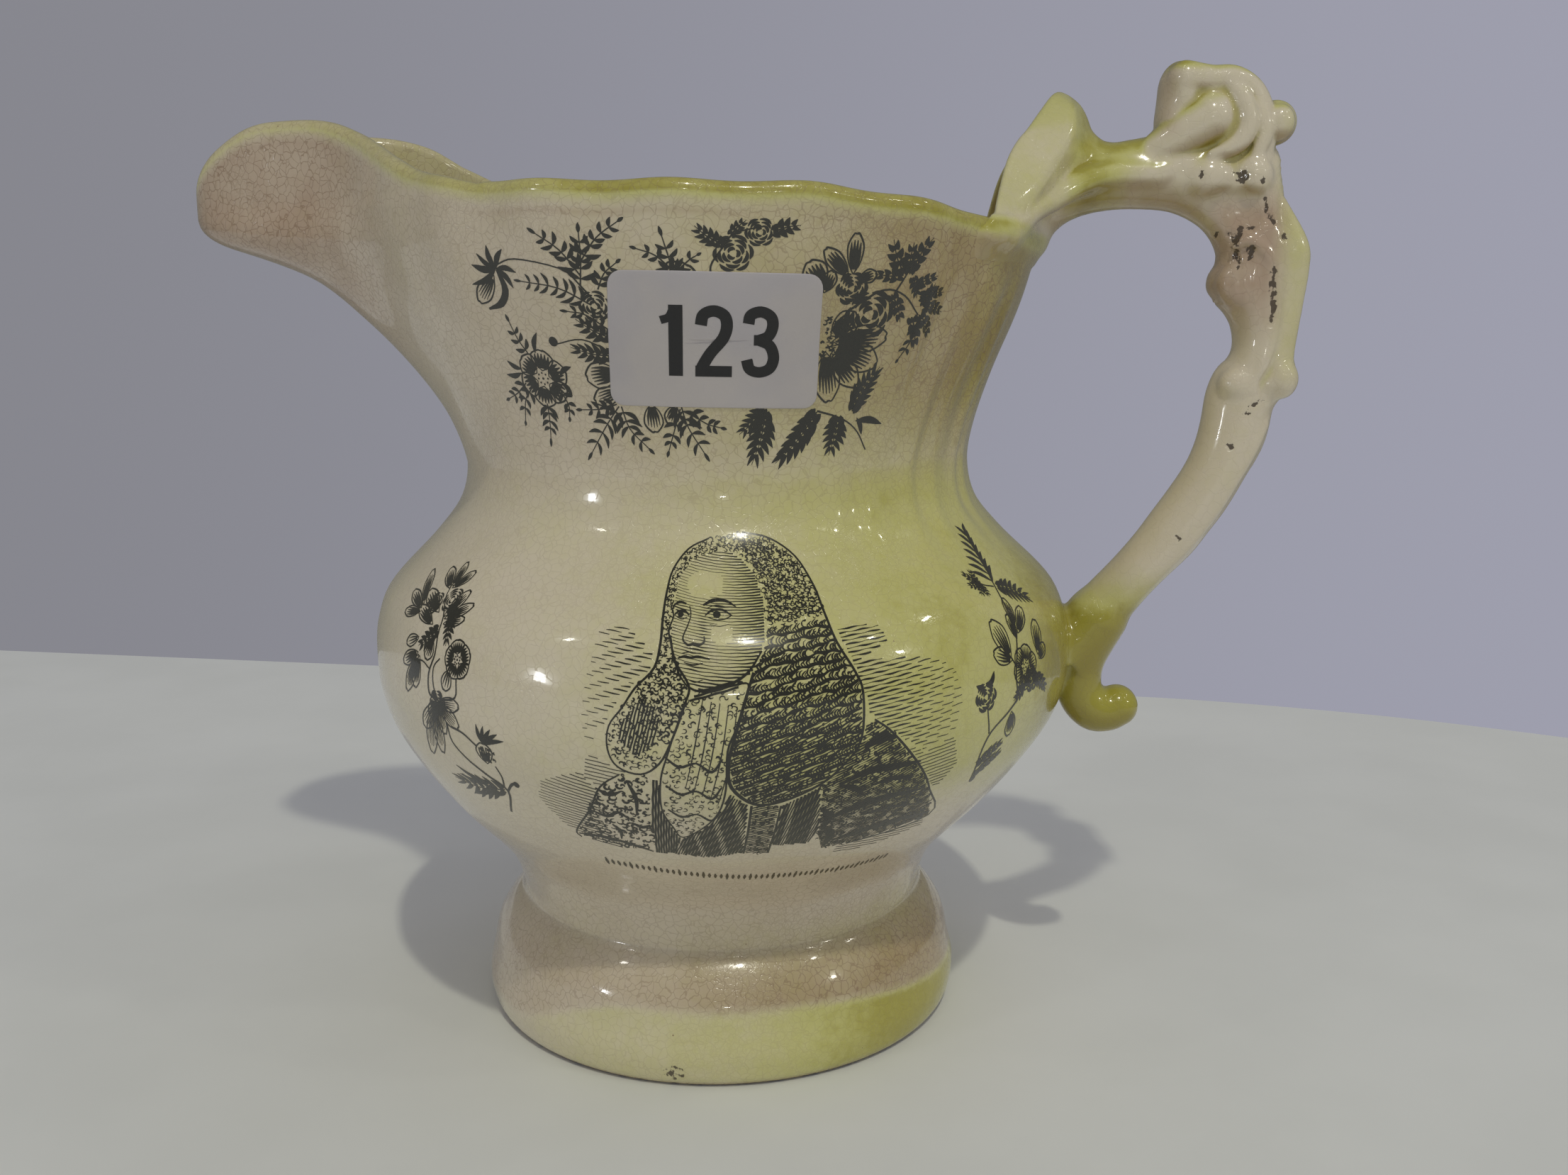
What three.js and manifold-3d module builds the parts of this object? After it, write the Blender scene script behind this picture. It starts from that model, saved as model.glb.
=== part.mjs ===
// A footed earthenware jug with a broad pulled spout, a scrolled handle and a paper number label.
// Millimetres, +Z up. The spout points along -X and the handle along +X.
// The jug stands on the plane z = 0, and the middle of its bounding box is over the origin.
import * as THREE from "three";
import { mergeVertices } from "three/addons/utils/BufferGeometryUtils.js";
import Module from "manifold-3d";

// Driving dimensions of the body, from the waist above the foot to the mouth
const footHeight = 26;
const waistRadius = 44.8;
const bellyRadius = 76.6;
const bellyHeight = 84;
const neckRadius = 54.8;
const neckHeight = 123;
const mouthRadius = 70;
const mouthHeight = 174.6;
const bodyWall = 4;
const lipRise = 1.2;
const floorThickness = 5;

// Driving dimensions of the foot
const footRadius = 54;
const footContactRadius = 51.5;
const footBulgeHeight = 7;
const footWall = 7;

// Driving dimensions of the spout: its reach from the jug's axis, and its rises above the mouth
const spoutReach = 115.5;
const spoutTipRise = 1.4;
const spoutCrestRise = 16.9;
const spoutHalfAngle = 12;
const spoutRootAngle = 28;
const saddleRise = 5;

// The rim dips towards the handle
const handleSideDip = 7;

// Driving dimensions of the handle
const handleBow = 45.5;
const handleSeatHeight = 86;
const handleHalfWidth = 7.2;
const handleHalfThickness = 6.5;
const leafHeight = 31;
const leafHalfWidth = 37;
const leafWall = 3.2;
const tailDrop = 18;
const tailRadius = 5.6;

// Driving dimensions of the paper label on the neck
const labelWidth = 38.1;
const labelHeight = 25.4;
const labelThickness = 0.4;
const labelDrop = 25.6;
const labelAngle = 98;
const labelTilt = -1.2;

// Luted joints are drawn with this much air, so that no two pieces touch
const gap = 0.3;

const wasm = await Module();
wasm.setup();

const radians = THREE.MathUtils.degToRad;

// A smooth curve y(x) through the given [x, y] points, held level past its ends
function through(points) {
  const slope = points.map((point, i) => {
    const before = points[Math.max(i - 1, 0)];
    const after = points[Math.min(i + 1, points.length - 1)];
    return (after[1] - before[1]) / (after[0] - before[0]);
  });
  return (x) => {
    if (x <= points[0][0]) return points[0][1];
    if (x >= points.at(-1)[0]) return points.at(-1)[1];
    const i = points.findIndex((point) => point[0] > x) - 1;
    const [x0, y0] = points[i];
    const [x1, y1] = points[i + 1];
    const span = x1 - x0;
    const t = (x - x0) / span;
    const rest = 1 - t;
    const ends = y0 * rest * rest * (1 + 2 * t) + y1 * t * t * (3 - 2 * t);
    return ends + span * t * rest * (rest * slope[i] - t * slope[i + 1]);
  };
}

// The points between two turning points of an outline, given as shares of the way in height and radius
function between(low, high, shares) {
  return shares.map(([up, out]) => [
    THREE.MathUtils.lerp(low[0], high[0], up),
    THREE.MathUtils.lerp(low[1], high[1], out),
  ]);
}

// Closed solid from a stack of rings with equal counts, each ring counterclockwise about the way up the stack
function ringStack(rings, { loop = false } = {}) {
  const count = rings[0].length;
  const positions = rings.flat().flatMap((p) => [p.x, p.y, p.z]);
  const index = [];
  const last = loop ? rings.length : rings.length - 1;
  for (let i = 0; i < last; i += 1) {
    const row = i * count;
    const next = ((i + 1) % rings.length) * count;
    for (let j = 0; j < count; j += 1) {
      const k = (j + 1) % count;
      index.push(row + j, row + k, next + k);
      index.push(row + j, next + k, next + j);
    }
  }
  if (!loop) {
    const middle = (ring) => ring.reduce((sum, p) => sum.add(p), new THREE.Vector3()).divideScalar(count);
    const top = (rings.length - 1) * count;
    const startMiddle = rings.length * count;
    positions.push(...middle(rings[0]).toArray(), ...middle(rings.at(-1)).toArray());
    for (let j = 0; j < count; j += 1) {
      const k = (j + 1) % count;
      index.push(startMiddle, k, j);
      index.push(startMiddle + 1, top + j, top + k);
    }
  }
  const geometry = new THREE.BufferGeometry();
  geometry.setAttribute("position", new THREE.Float32BufferAttribute(positions, 3));
  geometry.setIndex(index);
  return geometry;
}

// The same shape as a solid that can be cut and joined
function solidOf(geometry) {
  const plain = geometry.clone();
  plain.deleteAttribute("normal");
  plain.deleteAttribute("uv");
  const merged = mergeVertices(plain, 1e-4);
  const vertProperties = new Float32Array(merged.attributes.position.array);
  const triVerts = new Uint32Array(merged.index.array);
  return new wasm.Manifold(new wasm.Mesh({ numProp: 3, vertProperties, triVerts }));
}

function geometryOf(solid) {
  const mesh = solid.getMesh();
  const geometry = new THREE.BufferGeometry();
  geometry.setAttribute("position", new THREE.BufferAttribute(mesh.vertProperties, 3));
  geometry.setIndex(new THREE.BufferAttribute(mesh.triVerts, 1));
  return geometry;
}

// Outline of the body: radius against height
const waist = [footHeight, waistRadius];
const belly = [bellyHeight, bellyRadius];
const neck = [neckHeight, neckRadius];
const mouth = [mouthHeight, mouthRadius];
const bodyRadius = through([
  waist,
  ...between(waist, belly, [[0.1, 0.02], [0.22, 0.14], [0.45, 0.54], [0.7, 0.87], [0.87, 0.985]]),
  belly,
  ...between(belly, neck, [[0.16, 0.04], [0.34, 0.18], [0.62, 0.67], [0.8, 0.92]]),
  neck,
  ...between(neck, mouth, [[0.16, 0.08], [0.36, 0.3], [0.7, 0.75]]),
  mouth,
]);

// Heights that follow the mouth
const spoutTipHeight = mouthHeight + spoutTipRise;
const spoutCrestHeight = mouthHeight + spoutCrestRise;
const labelMiddleHeight = mouthHeight - labelDrop;

// How far the spout has been pulled out, as a share, against the share of the way up from neck to tip
const spoutPull = through([
  [0, 0], [0.2, 0.06], [0.37, 0.15], [0.56, 0.29], [0.72, 0.47],
  [0.8, 0.68], [0.865, 0.9], [0.92, 0.985], [1, 1],
]);

// Height of the rim against the angle from the middle of the spout
const saddleHeight = mouthHeight + saddleRise;
const crestRise = spoutCrestHeight - spoutTipHeight;
const rimHeight = through([
  [0, spoutTipHeight],
  [spoutHalfAngle * 0.33, spoutTipHeight + crestRise * 0.33],
  [spoutHalfAngle * 0.62, spoutTipHeight + crestRise * 0.71],
  [spoutHalfAngle * 0.85, spoutTipHeight + crestRise * 0.96],
  [spoutHalfAngle * 1.07, spoutCrestHeight],
  [spoutHalfAngle * 1.4, THREE.MathUtils.lerp(saddleHeight, spoutCrestHeight, 0.76)],
  [spoutHalfAngle * 1.9, THREE.MathUtils.lerp(saddleHeight, spoutCrestHeight, 0.34)],
  [spoutHalfAngle * 2.6, THREE.MathUtils.lerp(saddleHeight, spoutCrestHeight, 0.08)],
  [45, saddleHeight],
  [64, THREE.MathUtils.lerp(mouthHeight, saddleHeight, 0.4)],
  [90, mouthHeight],
  [112, mouthHeight - handleSideDip * 0.14],
  [145, mouthHeight - handleSideDip * 0.78],
  [180, mouthHeight - handleSideDip],
]);

// Distance of the outer surface from the axis, at a height and at an angle in degrees from the spout
function outerReach(fromSpout, z) {
  const radius = bodyRadius(Math.min(z, mouthHeight));
  const up = (z - neckHeight) / (spoutTipHeight - neckHeight);
  const halfAngle = THREE.MathUtils.lerp(spoutRootAngle, spoutHalfAngle, THREE.MathUtils.clamp(up, 0, 1));
  const nose = 1 / (1 + (fromSpout / halfAngle) ** 3);
  return radius + (spoutReach - mouthRadius) * spoutPull(up) * nose;
}

// A point of the outer surface: the angle turns from the spout, and climb runs from 0 at the neck
// to 1 at the rim, or down to -1 at the waist
function outerPoint(angle, climb) {
  const fromSpout = Math.abs(angle);
  const top = rimHeight(fromSpout);
  const z = climb < 0
    ? THREE.MathUtils.lerp(neckHeight, footHeight + gap, -climb)
    : THREE.MathUtils.lerp(neckHeight, top, climb);
  const reach = outerReach(fromSpout, z);
  const turn = radians(180 + angle);
  return new THREE.Vector3(reach * Math.cos(turn), reach * Math.sin(turn), z);
}

// The same point pushed out of the clay by a distance, or into it where the distance is negative
function offsetPoint(angle, climb, distance) {
  const turnStep = 0.2;
  const climbStep = 0.002;
  const point = outerPoint(angle, climb);
  const around = outerPoint(angle + turnStep, climb).sub(outerPoint(angle - turnStep, climb));
  const low = Math.max(climb - climbStep, -1);
  const high = Math.min(climb + climbStep, 1);
  const upward = outerPoint(angle, high).sub(outerPoint(angle, low));
  return point.addScaledVector(around.cross(upward).normalize(), distance);
}

// Column angles, close together at the spout and 9 degrees apart elsewhere
const spoutColumns = [0, 2.5, 5, 7.5, 10, 12.5, 15, 18, 22, 27, 33, 40, 48, 56, 64, 72];
const plainColumns = Array.from({ length: 12 }, (_, i) => 81 + 9 * i);
const halfColumns = [...spoutColumns, ...plainColumns];
const columns = [...halfColumns.slice(1, -1).map((angle) => -angle).reverse(), ...halfColumns];
const bellyClimbs = [-1, -0.92, -0.83, -0.74, -0.65, -0.56, -0.48, -0.4, -0.33, -0.26, -0.19, -0.1];
const neckClimbs = [0, 0.13, 0.27, 0.4, 0.52, 0.62, 0.71, 0.78, 0.84, 0.89, 0.935, 1];
const ringAt = (climb, distance) => columns.map((angle) => offsetPoint(angle, climb, distance));
const lipRing = (lift) => ringAt(1, -bodyWall / 2).map((p) => p.setZ(p.z + lipRise + lift));

// The clay wall of the belly, the neck and the spout, hollow and open at the mouth, with a flat floor inside
function clayShell() {
  const outside = [...bellyClimbs, ...neckClimbs].map((climb) => ringAt(climb, 0));
  const lip = lipRing(0);
  const insideClimbs = [...neckClimbs].reverse().concat([...bellyClimbs].reverse().slice(0, -1));
  const inside = insideClimbs.map((climb) => ringAt(climb, -bodyWall));
  const floor = ringAt(-0.96, -bodyWall - 1).map((p) => p.setZ(footHeight + floorThickness));
  return solidOf(ringStack([...outside, lip, ...inside, floor]));
}

// The body without its hollow, swollen by the gap, to trim what is luted onto it
function swollenBody() {
  const rings = [...bellyClimbs, ...neckClimbs].map((climb) => ringAt(climb, gap));
  return solidOf(ringStack([...rings, lipRing(gap)]));
}

// Everything above the neck on the spout's side of the slanted seam, moved away from the body by a distance
function spoutSide(distance) {
  const seamTop = mouthRadius * 0.73;
  const seamFoot = neckRadius * 1.09;
  const size = 400;
  const beyondSeam = new THREE.BoxGeometry(size, size, size);
  beyondSeam.translate(-size / 2 - distance, 0, 0);
  beyondSeam.rotateY(Math.atan2(seamFoot - seamTop, mouthHeight - neckHeight));
  beyondSeam.translate(-(seamFoot + seamTop) / 2, 0, (mouthHeight + neckHeight) / 2);
  const aboveNeck = new THREE.BoxGeometry(size, size, size);
  aboveNeck.translate(0, 0, size / 2 + neckHeight + distance);
  return solidOf(beyondSeam).intersect(solidOf(aboveNeck));
}

// The foot: drawn in under the body, swelling low down and tucked in to the ring that it stands on
function footGeometry() {
  const outline = [
    ...new THREE.SplineCurve([
      new THREE.Vector2(footContactRadius, 0),
      new THREE.Vector2(footRadius - 0.6, footBulgeHeight * 0.4),
      new THREE.Vector2(footRadius, footBulgeHeight),
      new THREE.Vector2(footRadius - 1, footHeight * 0.46),
      new THREE.Vector2(THREE.MathUtils.lerp(waistRadius, footRadius, 0.6), footHeight * 0.68),
      new THREE.Vector2(THREE.MathUtils.lerp(waistRadius, footRadius, 0.12), footHeight * 0.9),
      new THREE.Vector2(waistRadius, footHeight),
    ]).getPoints(10),
    new THREE.Vector2(waistRadius - footWall, footHeight),
    new THREE.Vector2(waistRadius - footWall + 1, footHeight * 0.7),
    new THREE.Vector2(footContactRadius - footWall, footHeight * 0.25),
    new THREE.Vector2(footContactRadius - footWall, 0),
  ];
  const sides = 48;
  const rings = outline.map(({ x: radius, y: z }) => Array.from({ length: sides }, (_, j) => {
    const turn = (j / sides) * Math.PI * 2;
    return new THREE.Vector3(radius * Math.cos(turn), radius * Math.sin(turn), z);
  }));
  return ringStack(rings, { loop: true });
}

// A clay roll in the plane y = 0: stations give x, z, half thickness and half width along the way
function clayRoll(stations, { steps, swell = 0 }) {
  const sides = 12;
  const along = [0, 1, 2, 3].map((part) => through(stations.map((station, i) => [i, station[part]])));
  const last = stations.length - 1;
  const rings = Array.from({ length: steps + 1 }, (_, i) => {
    const t = (i / steps) * last;
    const [x, z, thick, wide] = along.map((part) => part(t));
    const before = Math.max(t - 0.05, 0);
    const after = Math.min(t + 0.05, last);
    const run = new THREE.Vector2(along[0](after) - along[0](before), along[1](after) - along[1](before));
    run.normalize();
    const stretch = i === 0 ? -swell : (i === steps ? swell : 0);
    return Array.from({ length: sides }, (__, j) => {
      const turn = (j / sides) * Math.PI * 2;
      const out = (thick + swell) * Math.cos(turn);
      const y = (wide + swell) * Math.sin(turn);
      return new THREE.Vector3(x + run.x * stretch + run.y * out, y, z + run.y * stretch - run.x * out);
    });
  });
  return solidOf(ringStack(rings));
}

// An egg of clay, given by its middle and half sizes
function clayEgg([x, y, z], [sx, sy, sz]) {
  const egg = new THREE.SphereGeometry(1, 12, 8);
  egg.scale(sx, sy, sz);
  egg.translate(x, y, z);
  return solidOf(egg);
}

// The handle springs from the rim and lands on the belly
// Shares: way down from rim to seat, bow beyond the straight line between them, half thickness, half width
const handleTop = [mouthRadius, mouthHeight - handleSideDip];
const handleSeat = [bodyRadius(handleSeatHeight), handleSeatHeight];
const handleShares = [
  [-0.05, 0.01, 1.05, 0.95],
  [-0.127, 0.064, 1.05, 1],
  [-0.176, 0.312, 1.08, 1.05],
  [-0.176, 0.62, 1.12, 1.1],
  [-0.121, 0.83, 1.31, 1.2],
  [-0.023, 0.95, 1.35, 1.2],
  [0.056, 0.98, 1.35, 1.15],
  [0.11, 0.957, 1.38, 1.1],
  [0.222, 0.995, 0.92, 1],
  [0.326, 0.938, 1.31, 1.1],
  [0.418, 0.864, 1.08, 0.95],
  [0.534, 0.787, 1.02, 0.95],
  [0.675, 0.633, 0.94, 0.95],
  [0.81, 0.415, 0.92, 0.95],
  [0.918, 0.213, 0.92, 1],
  [1.012, 0.044, 1.08, 1],
  [1.06, -0.08, 1.08, 1],
];
const handleStations = handleShares.map(([down, bow, thick, wide]) => [
  THREE.MathUtils.lerp(handleTop[0], handleSeat[0], down) + bow * handleBow,
  THREE.MathUtils.lerp(handleTop[1], handleSeat[1], down),
  thick * handleHalfThickness,
  wide * handleHalfWidth,
]);
const handleRoll = (swell) => clayRoll(handleStations, { steps: 44, swell });

// The cupped leaf that rises from the rim round the arm's root, hollow towards the mouth
// Shares of its height, then millimetres from the rim for its back, the cup's depth and its width as a share
function thumbLeaf() {
  const base = handleTop[1] + 1;
  const back = through([[0, 0.6], [0.24, 6.4], [0.43, 9.4], [0.63, 10.4], [0.75, 9.2], [0.88, 7], [1, 3.4]]);
  const depth = through([[0, 12], [0.24, 17.4], [0.43, 19], [0.63, 17.4], [0.75, 14], [0.88, 9], [1, 1.6]]);
  const width = through([[0, 1], [0.24, 0.82], [0.43, 0.63], [0.63, 0.47], [0.75, 0.36], [0.88, 0.2], [1, 0.04]]);
  const steps = 12;
  const arc = 16;
  const rings = Array.from({ length: steps + 1 }, (_, i) => {
    const up = i / steps;
    const cup = (shrink) => Array.from({ length: arc + 1 }, (__, j) => {
      const turn = radians(-88 + (176 * j) / arc);
      const inset = shrink * leafWall * (1 - 0.7 * up ** 3);
      const x = handleTop[0] + back(up) - depth(up) + Math.max(depth(up) - inset, 0.3) * Math.cos(turn);
      const y = Math.max(leafHalfWidth * width(up) - inset, 0.1) * Math.sin(turn);
      return new THREE.Vector3(x, y, base + up * leafHeight);
    });
    return [...cup(0), ...cup(1).reverse()];
  });
  return solidOf(ringStack(rings));
}

// The scrolled crest on the handle's corner, placed from the arm's crown
function crestScroll() {
  const [crownX, crownZ] = handleStations[3];
  const place = (rows) => rows.map(([x, z, thick, wide]) => [crownX + x, crownZ + z, thick, wide]);
  const band = place([
    [-1.5, 17.5, 5, 7.6], [4, 19, 4, 7], [10, 17.6, 4, 7],
    [14.4, 13.6, 4, 7], [15.6, 8.4, 4.2, 7], [12.6, 3, 4.6, 7],
  ]);
  const comma = place([
    [-9, 6, 3, 5], [-2, 7.4, 4.4, 7.6], [4, 9, 5.2, 8.6], [8, 12, 4.4, 8], [7, 15, 2.6, 6],
  ]);
  const lobe = clayEgg([crownX - 0.4, 0, crownZ + 15.2], [5, 8, 7.8]);
  const heart = clayEgg([crownX + 8, 0, crownZ + 11], [8, 7.4, 7]);
  const bead = clayEgg([crownX + 20.4, 0, crownZ + 10.6], [3.2, 4, 4]);
  const rolls = clayRoll(band, { steps: 12 }).add(clayRoll(comma, { steps: 12 }));
  return rolls.add(lobe).add(heart).add(bead);
}

// The curled tail under the handle's seat, lying along the belly and turning outwards
// Shares: way down its drop, millimetres out from the belly, half thickness, half width
function tailCurl() {
  const tailShares = [
    [0.17, 2.9, 0.95, 0.9],
    [0.5, 4.3, 0.95, 0.85],
    [0.86, 7.6, 1, 0.85],
    [1, 12.8, 1, 0.85],
    [0.98, 15.7, 0.95, 0.8],
    [0.94, 18.8, 0.45, 0.4],
  ];
  const stations = tailShares.map(([down, out, thick, wide]) => {
    const z = handleSeatHeight - down * tailDrop;
    return [bodyRadius(z) + out, z, thick * tailRadius, wide * handleHalfWidth];
  });
  return clayRoll(stations, { steps: 16 });
}

// The paper label, bent round the neck with rounded corners
function labelGeometry() {
  const corner = 1.5;
  const straight = [labelWidth / 2 - corner, labelHeight / 2 - corner];
  const shape = new THREE.Shape();
  [[1, -1], [1, 1], [-1, 1], [-1, -1]].forEach(([sx, sy], quarter) => {
    const start = ((quarter - 1) * Math.PI) / 2;
    shape.absarc(sx * straight[0], sy * straight[1], corner, start, start + Math.PI / 2);
  });
  shape.closePath();
  const outline = shape.getSpacedPoints(44).slice(0, -1);
  const tilt = radians(labelTilt);
  const onNeck = (across, up, lift) => {
    const u = across * Math.cos(tilt) - up * Math.sin(tilt);
    const v = across * Math.sin(tilt) + up * Math.cos(tilt);
    const angle = labelAngle + THREE.MathUtils.radToDeg(u / bodyRadius(labelMiddleHeight + v));
    const climbAngle = Math.atan2(outerReach(angle, labelMiddleHeight + v + 1)
      - outerReach(angle, labelMiddleHeight + v - 1), 2);
    const z = labelMiddleHeight + v * Math.cos(climbAngle);
    const reach = outerReach(angle, z) + lift * Math.cos(climbAngle);
    const turn = radians(180 + angle);
    return new THREE.Vector3(reach * Math.cos(turn), reach * Math.sin(turn), z - lift * Math.sin(climbAngle));
  };
  const shares = [0.12, 0.4, 0.7, 1];
  const face = (lift) => shares.map((share) => outline.map((p) => onNeck(p.x * share, p.y * share, lift)));
  return ringStack([...face(gap), ...face(gap + labelThickness).reverse()]);
}

const glaze = new THREE.MeshStandardMaterial({ color: 0xcfc7a0, roughness: 0.18, metalness: 0 });
const paper = new THREE.MeshStandardMaterial({ color: 0xd9dbe0, roughness: 0.6, metalness: 0 });

const jug = new THREE.Group();
function addPiece(name, geometry, material) {
  const piece = new THREE.Mesh(geometry, material);
  piece.name = name;
  jug.add(piece);
}

const shell = clayShell();
const trimBody = swollenBody();
const trimHandle = handleRoll(gap);
addPiece("foot", footGeometry(), glaze);
addPiece("body", geometryOf(shell.subtract(spoutSide(0))), glaze);
addPiece("spout", geometryOf(shell.intersect(spoutSide(gap))), glaze);
addPiece("handle", geometryOf(handleRoll(0).subtract(trimBody)), glaze);
addPiece("thumb_leaf", geometryOf(thumbLeaf().subtract(trimHandle).subtract(trimBody)), glaze);
addPiece("crest_scroll", geometryOf(crestScroll().subtract(trimHandle)), glaze);
addPiece("tail_curl", geometryOf(tailCurl().subtract(trimHandle).subtract(trimBody)), glaze);
addPiece("lot_label", labelGeometry(), paper);

// Slide the jug along X until its bounding box is centred over the origin
const bounds = new THREE.Box3().setFromObject(jug);
jug.position.x = -(bounds.min.x + bounds.max.x) / 2;

export default jug;
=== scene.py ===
# %% [markdown]
# A commemorative jug in glazed earthenware
# This lesson builds the looks of a footed jug around its CAD frame: one skin of glazed clay for foot,
# belly, neck and spout, a second one for the modelled handle, dark transfer prints, and a paper label.
# All shapes are worked out in millimetres from the jug's own axis, and turned into metres at the end.

import bpy
import numpy as np
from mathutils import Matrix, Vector


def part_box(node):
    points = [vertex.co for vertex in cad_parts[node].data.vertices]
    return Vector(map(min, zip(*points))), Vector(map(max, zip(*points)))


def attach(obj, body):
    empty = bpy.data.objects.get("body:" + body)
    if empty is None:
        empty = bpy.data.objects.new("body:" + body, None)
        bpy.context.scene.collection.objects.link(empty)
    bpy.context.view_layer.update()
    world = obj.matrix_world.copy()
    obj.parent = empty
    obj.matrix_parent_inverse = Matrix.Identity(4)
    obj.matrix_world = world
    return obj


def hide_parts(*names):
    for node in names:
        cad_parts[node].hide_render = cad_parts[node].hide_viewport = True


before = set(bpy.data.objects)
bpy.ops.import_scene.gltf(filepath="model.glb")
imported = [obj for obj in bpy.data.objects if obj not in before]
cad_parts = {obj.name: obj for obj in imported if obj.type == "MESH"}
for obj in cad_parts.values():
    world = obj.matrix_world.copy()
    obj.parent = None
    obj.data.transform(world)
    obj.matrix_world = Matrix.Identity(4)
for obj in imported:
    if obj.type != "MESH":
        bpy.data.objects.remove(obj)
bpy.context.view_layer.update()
foot_low, foot_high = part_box("foot")
axis_x = (foot_low.x + foot_high.x) / 2
MM = 0.001

# %% [markdown]
# The camera comes first, because every later choice is judged through it.
# It stands at about arm's length, a little above the belly, and looks down by ten degrees.
# The jug is turned by six degrees, which is the same as walking the camera round it by six degrees.

# %% Camera
camera_data = bpy.data.cameras.new("camera")
camera = bpy.data.objects.new("camera", camera_data)
bpy.context.scene.collection.objects.link(camera)
camera_place = Vector((47.47, -312.9, 152.36))
camera_pitch = 10.6
camera_turn = 6.0
camera.location = (camera_place.x * MM + axis_x, camera_place.y * MM, camera_place.z * MM)
camera.rotation_euler = (np.radians(90 - camera_pitch), 0, np.radians(camera_turn))
camera_data.sensor_width = 36
camera_data.lens = 32.55
camera_data.clip_start = 0.01
bpy.context.scene.camera = camera
print("camera at", [round(c, 4) for c in camera.location])

# %% [markdown]
# A potter draws a jug as an outline: a radius for each height. A smooth curve through a few turning
# points gives that outline here, and the same helper also gives the spout's pull and the rim's height.

# %% Smooth curve through points


def through(points):
    """A smooth curve y(x) through the points, held level past its ends."""
    x, y = np.array(points, float).T
    before = np.maximum(np.arange(len(x)) - 1, 0)
    after = np.minimum(np.arange(len(x)) + 1, len(x) - 1)
    slope = (y[after] - y[before]) / (x[after] - x[before])

    def curve(at):
        at = np.clip(at, x[0], x[-1])
        i = np.clip(np.searchsorted(x, at, side="right") - 1, 0, len(x) - 2)
        span = x[i + 1] - x[i]
        t = (at - x[i]) / span
        rest = 1 - t
        ends = y[i] * rest * rest * (1 + 2 * t) + y[i + 1] * t * t * (3 - 2 * t)
        return ends + span * t * rest * (rest * slope[i] - t * slope[i + 1])

    return curve


def lerp(low, high, share):
    """The value that lies a share of the way from low to high."""
    return low + (high - low) * share


def ease(low, high, at):
    """0 below low, 1 above high, and a smooth step between them."""
    t = np.clip((at - low) / (high - low), 0, 1)
    return t * t * (3 - 2 * t)


def between(low, high, shares):
    """Points between two others, each a share of the way up and a share of the way out."""
    return [(lerp(low[0], high[0], up), lerp(low[1], high[1], out)) for up, out in shares]


print("half way up a smooth step", float(ease(0, 1, 0.5)))

# %% [markdown]
# The outline could be traced as dozens of points, but a thrown jug has only a few that matter: the waist
# over the foot, the belly, the neck and the mouth. All points between them are shares of the way from
# one to the next, so the shape stays fair when one of the four moves.

# %% Outline of foot, belly and neck
waist, belly, neck, mouth = (26, 45.4), (84, 76.6), (123, 54.8), (174.6, 70)
foot_radius = 54
body_outline = through(
    [waist]
    + between(waist, belly, [(0.1, 0.04), (0.22, 0.15), (0.45, 0.54), (0.7, 0.87), (0.87, 0.985)])
    + [belly]
    + between(belly, neck, [(0.16, 0.04), (0.34, 0.18), (0.62, 0.67), (0.8, 0.92)])
    + [neck]
    + between(neck, mouth, [(0.16, 0.08), (0.36, 0.3), (0.7, 0.75)])
    + [mouth]
)
foot_outline = through([
    (0, 51.5), (0.9, 52.6), (2.8, 53.5), (7, foot_radius), (12, 53),
    (17.7, lerp(waist[1], foot_radius, 0.74)), (22.4, lerp(waist[1], foot_radius, 0.42)),
    (24.8, lerp(waist[1], foot_radius, 0.18)), waist,
])
spout_reach, spout_tip_height, spout_crest_height = 115.5, 176, 192.2
spout_root_angle, spout_half_angle = 28, 12
saddle_height, side_height, handle_rim_height = 179.6, 174.6, 167.6
spout_pull = through([
    (0, 0), (0.2, 0.06), (0.37, 0.15), (0.56, 0.29), (0.72, 0.47), (0.8, 0.68), (0.865, 0.9), (0.92, 0.985),
    (1, 1),
])


def rim_part(low, high, unit, shares):
    """A stretch of the rim: angles as multiples of a unit, heights as shares from low to high."""
    return [(unit * turn, lerp(low, high, rise)) for turn, rise in shares]


rim_curve = through(
    rim_part(spout_tip_height, spout_crest_height, spout_half_angle,
             [(0, 0), (0.33, 0.33), (0.62, 0.71), (0.85, 0.96), (1.07, 1)])
    + rim_part(saddle_height, spout_crest_height, spout_half_angle, [(1.4, 0.95), (1.9, 0.71), (2.6, 0.39)])
    + rim_part(saddle_height, spout_crest_height, 1, [(38, 0.16)])
    + rim_part(side_height, saddle_height, 1, [(45, 0.86), (55, 0.4), (64, 0.14), (90, 0)])
    + rim_part(side_height, handle_rim_height, 1,
               [(112, 0.06), (128, 0.27), (145, 0.59), (162, 0.86), (180, 1)])
)
print("rim heights", [round(float(rim_curve(angle)), 1) for angle in (0, spout_half_angle, 45, 90, 180)])
print("radius of waist, belly and neck", [float(body_outline(at[0])) for at in (waist, belly, neck)])

# %% [markdown]
# A hand has been over this jug: its rim waves in shallow lobes, the belly leans a little to the handle,
# soft flutes run down the neck beside the handle, and the far wall of the spout stands a hair higher.
# These small departures from a turned shape are what keep a render from looking machine made.

# %% Outer surface
lobe_period, lobe_depth, lobe_lift = 20.0, 0.6, 0.22
lobe_crest_angle = 92
flute_period, flute_drift = 9.5, 0.12
lean_reach, lean_height, lean_spread = 1.4, 80, 26.0
far_wall_lift = 1.3


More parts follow.
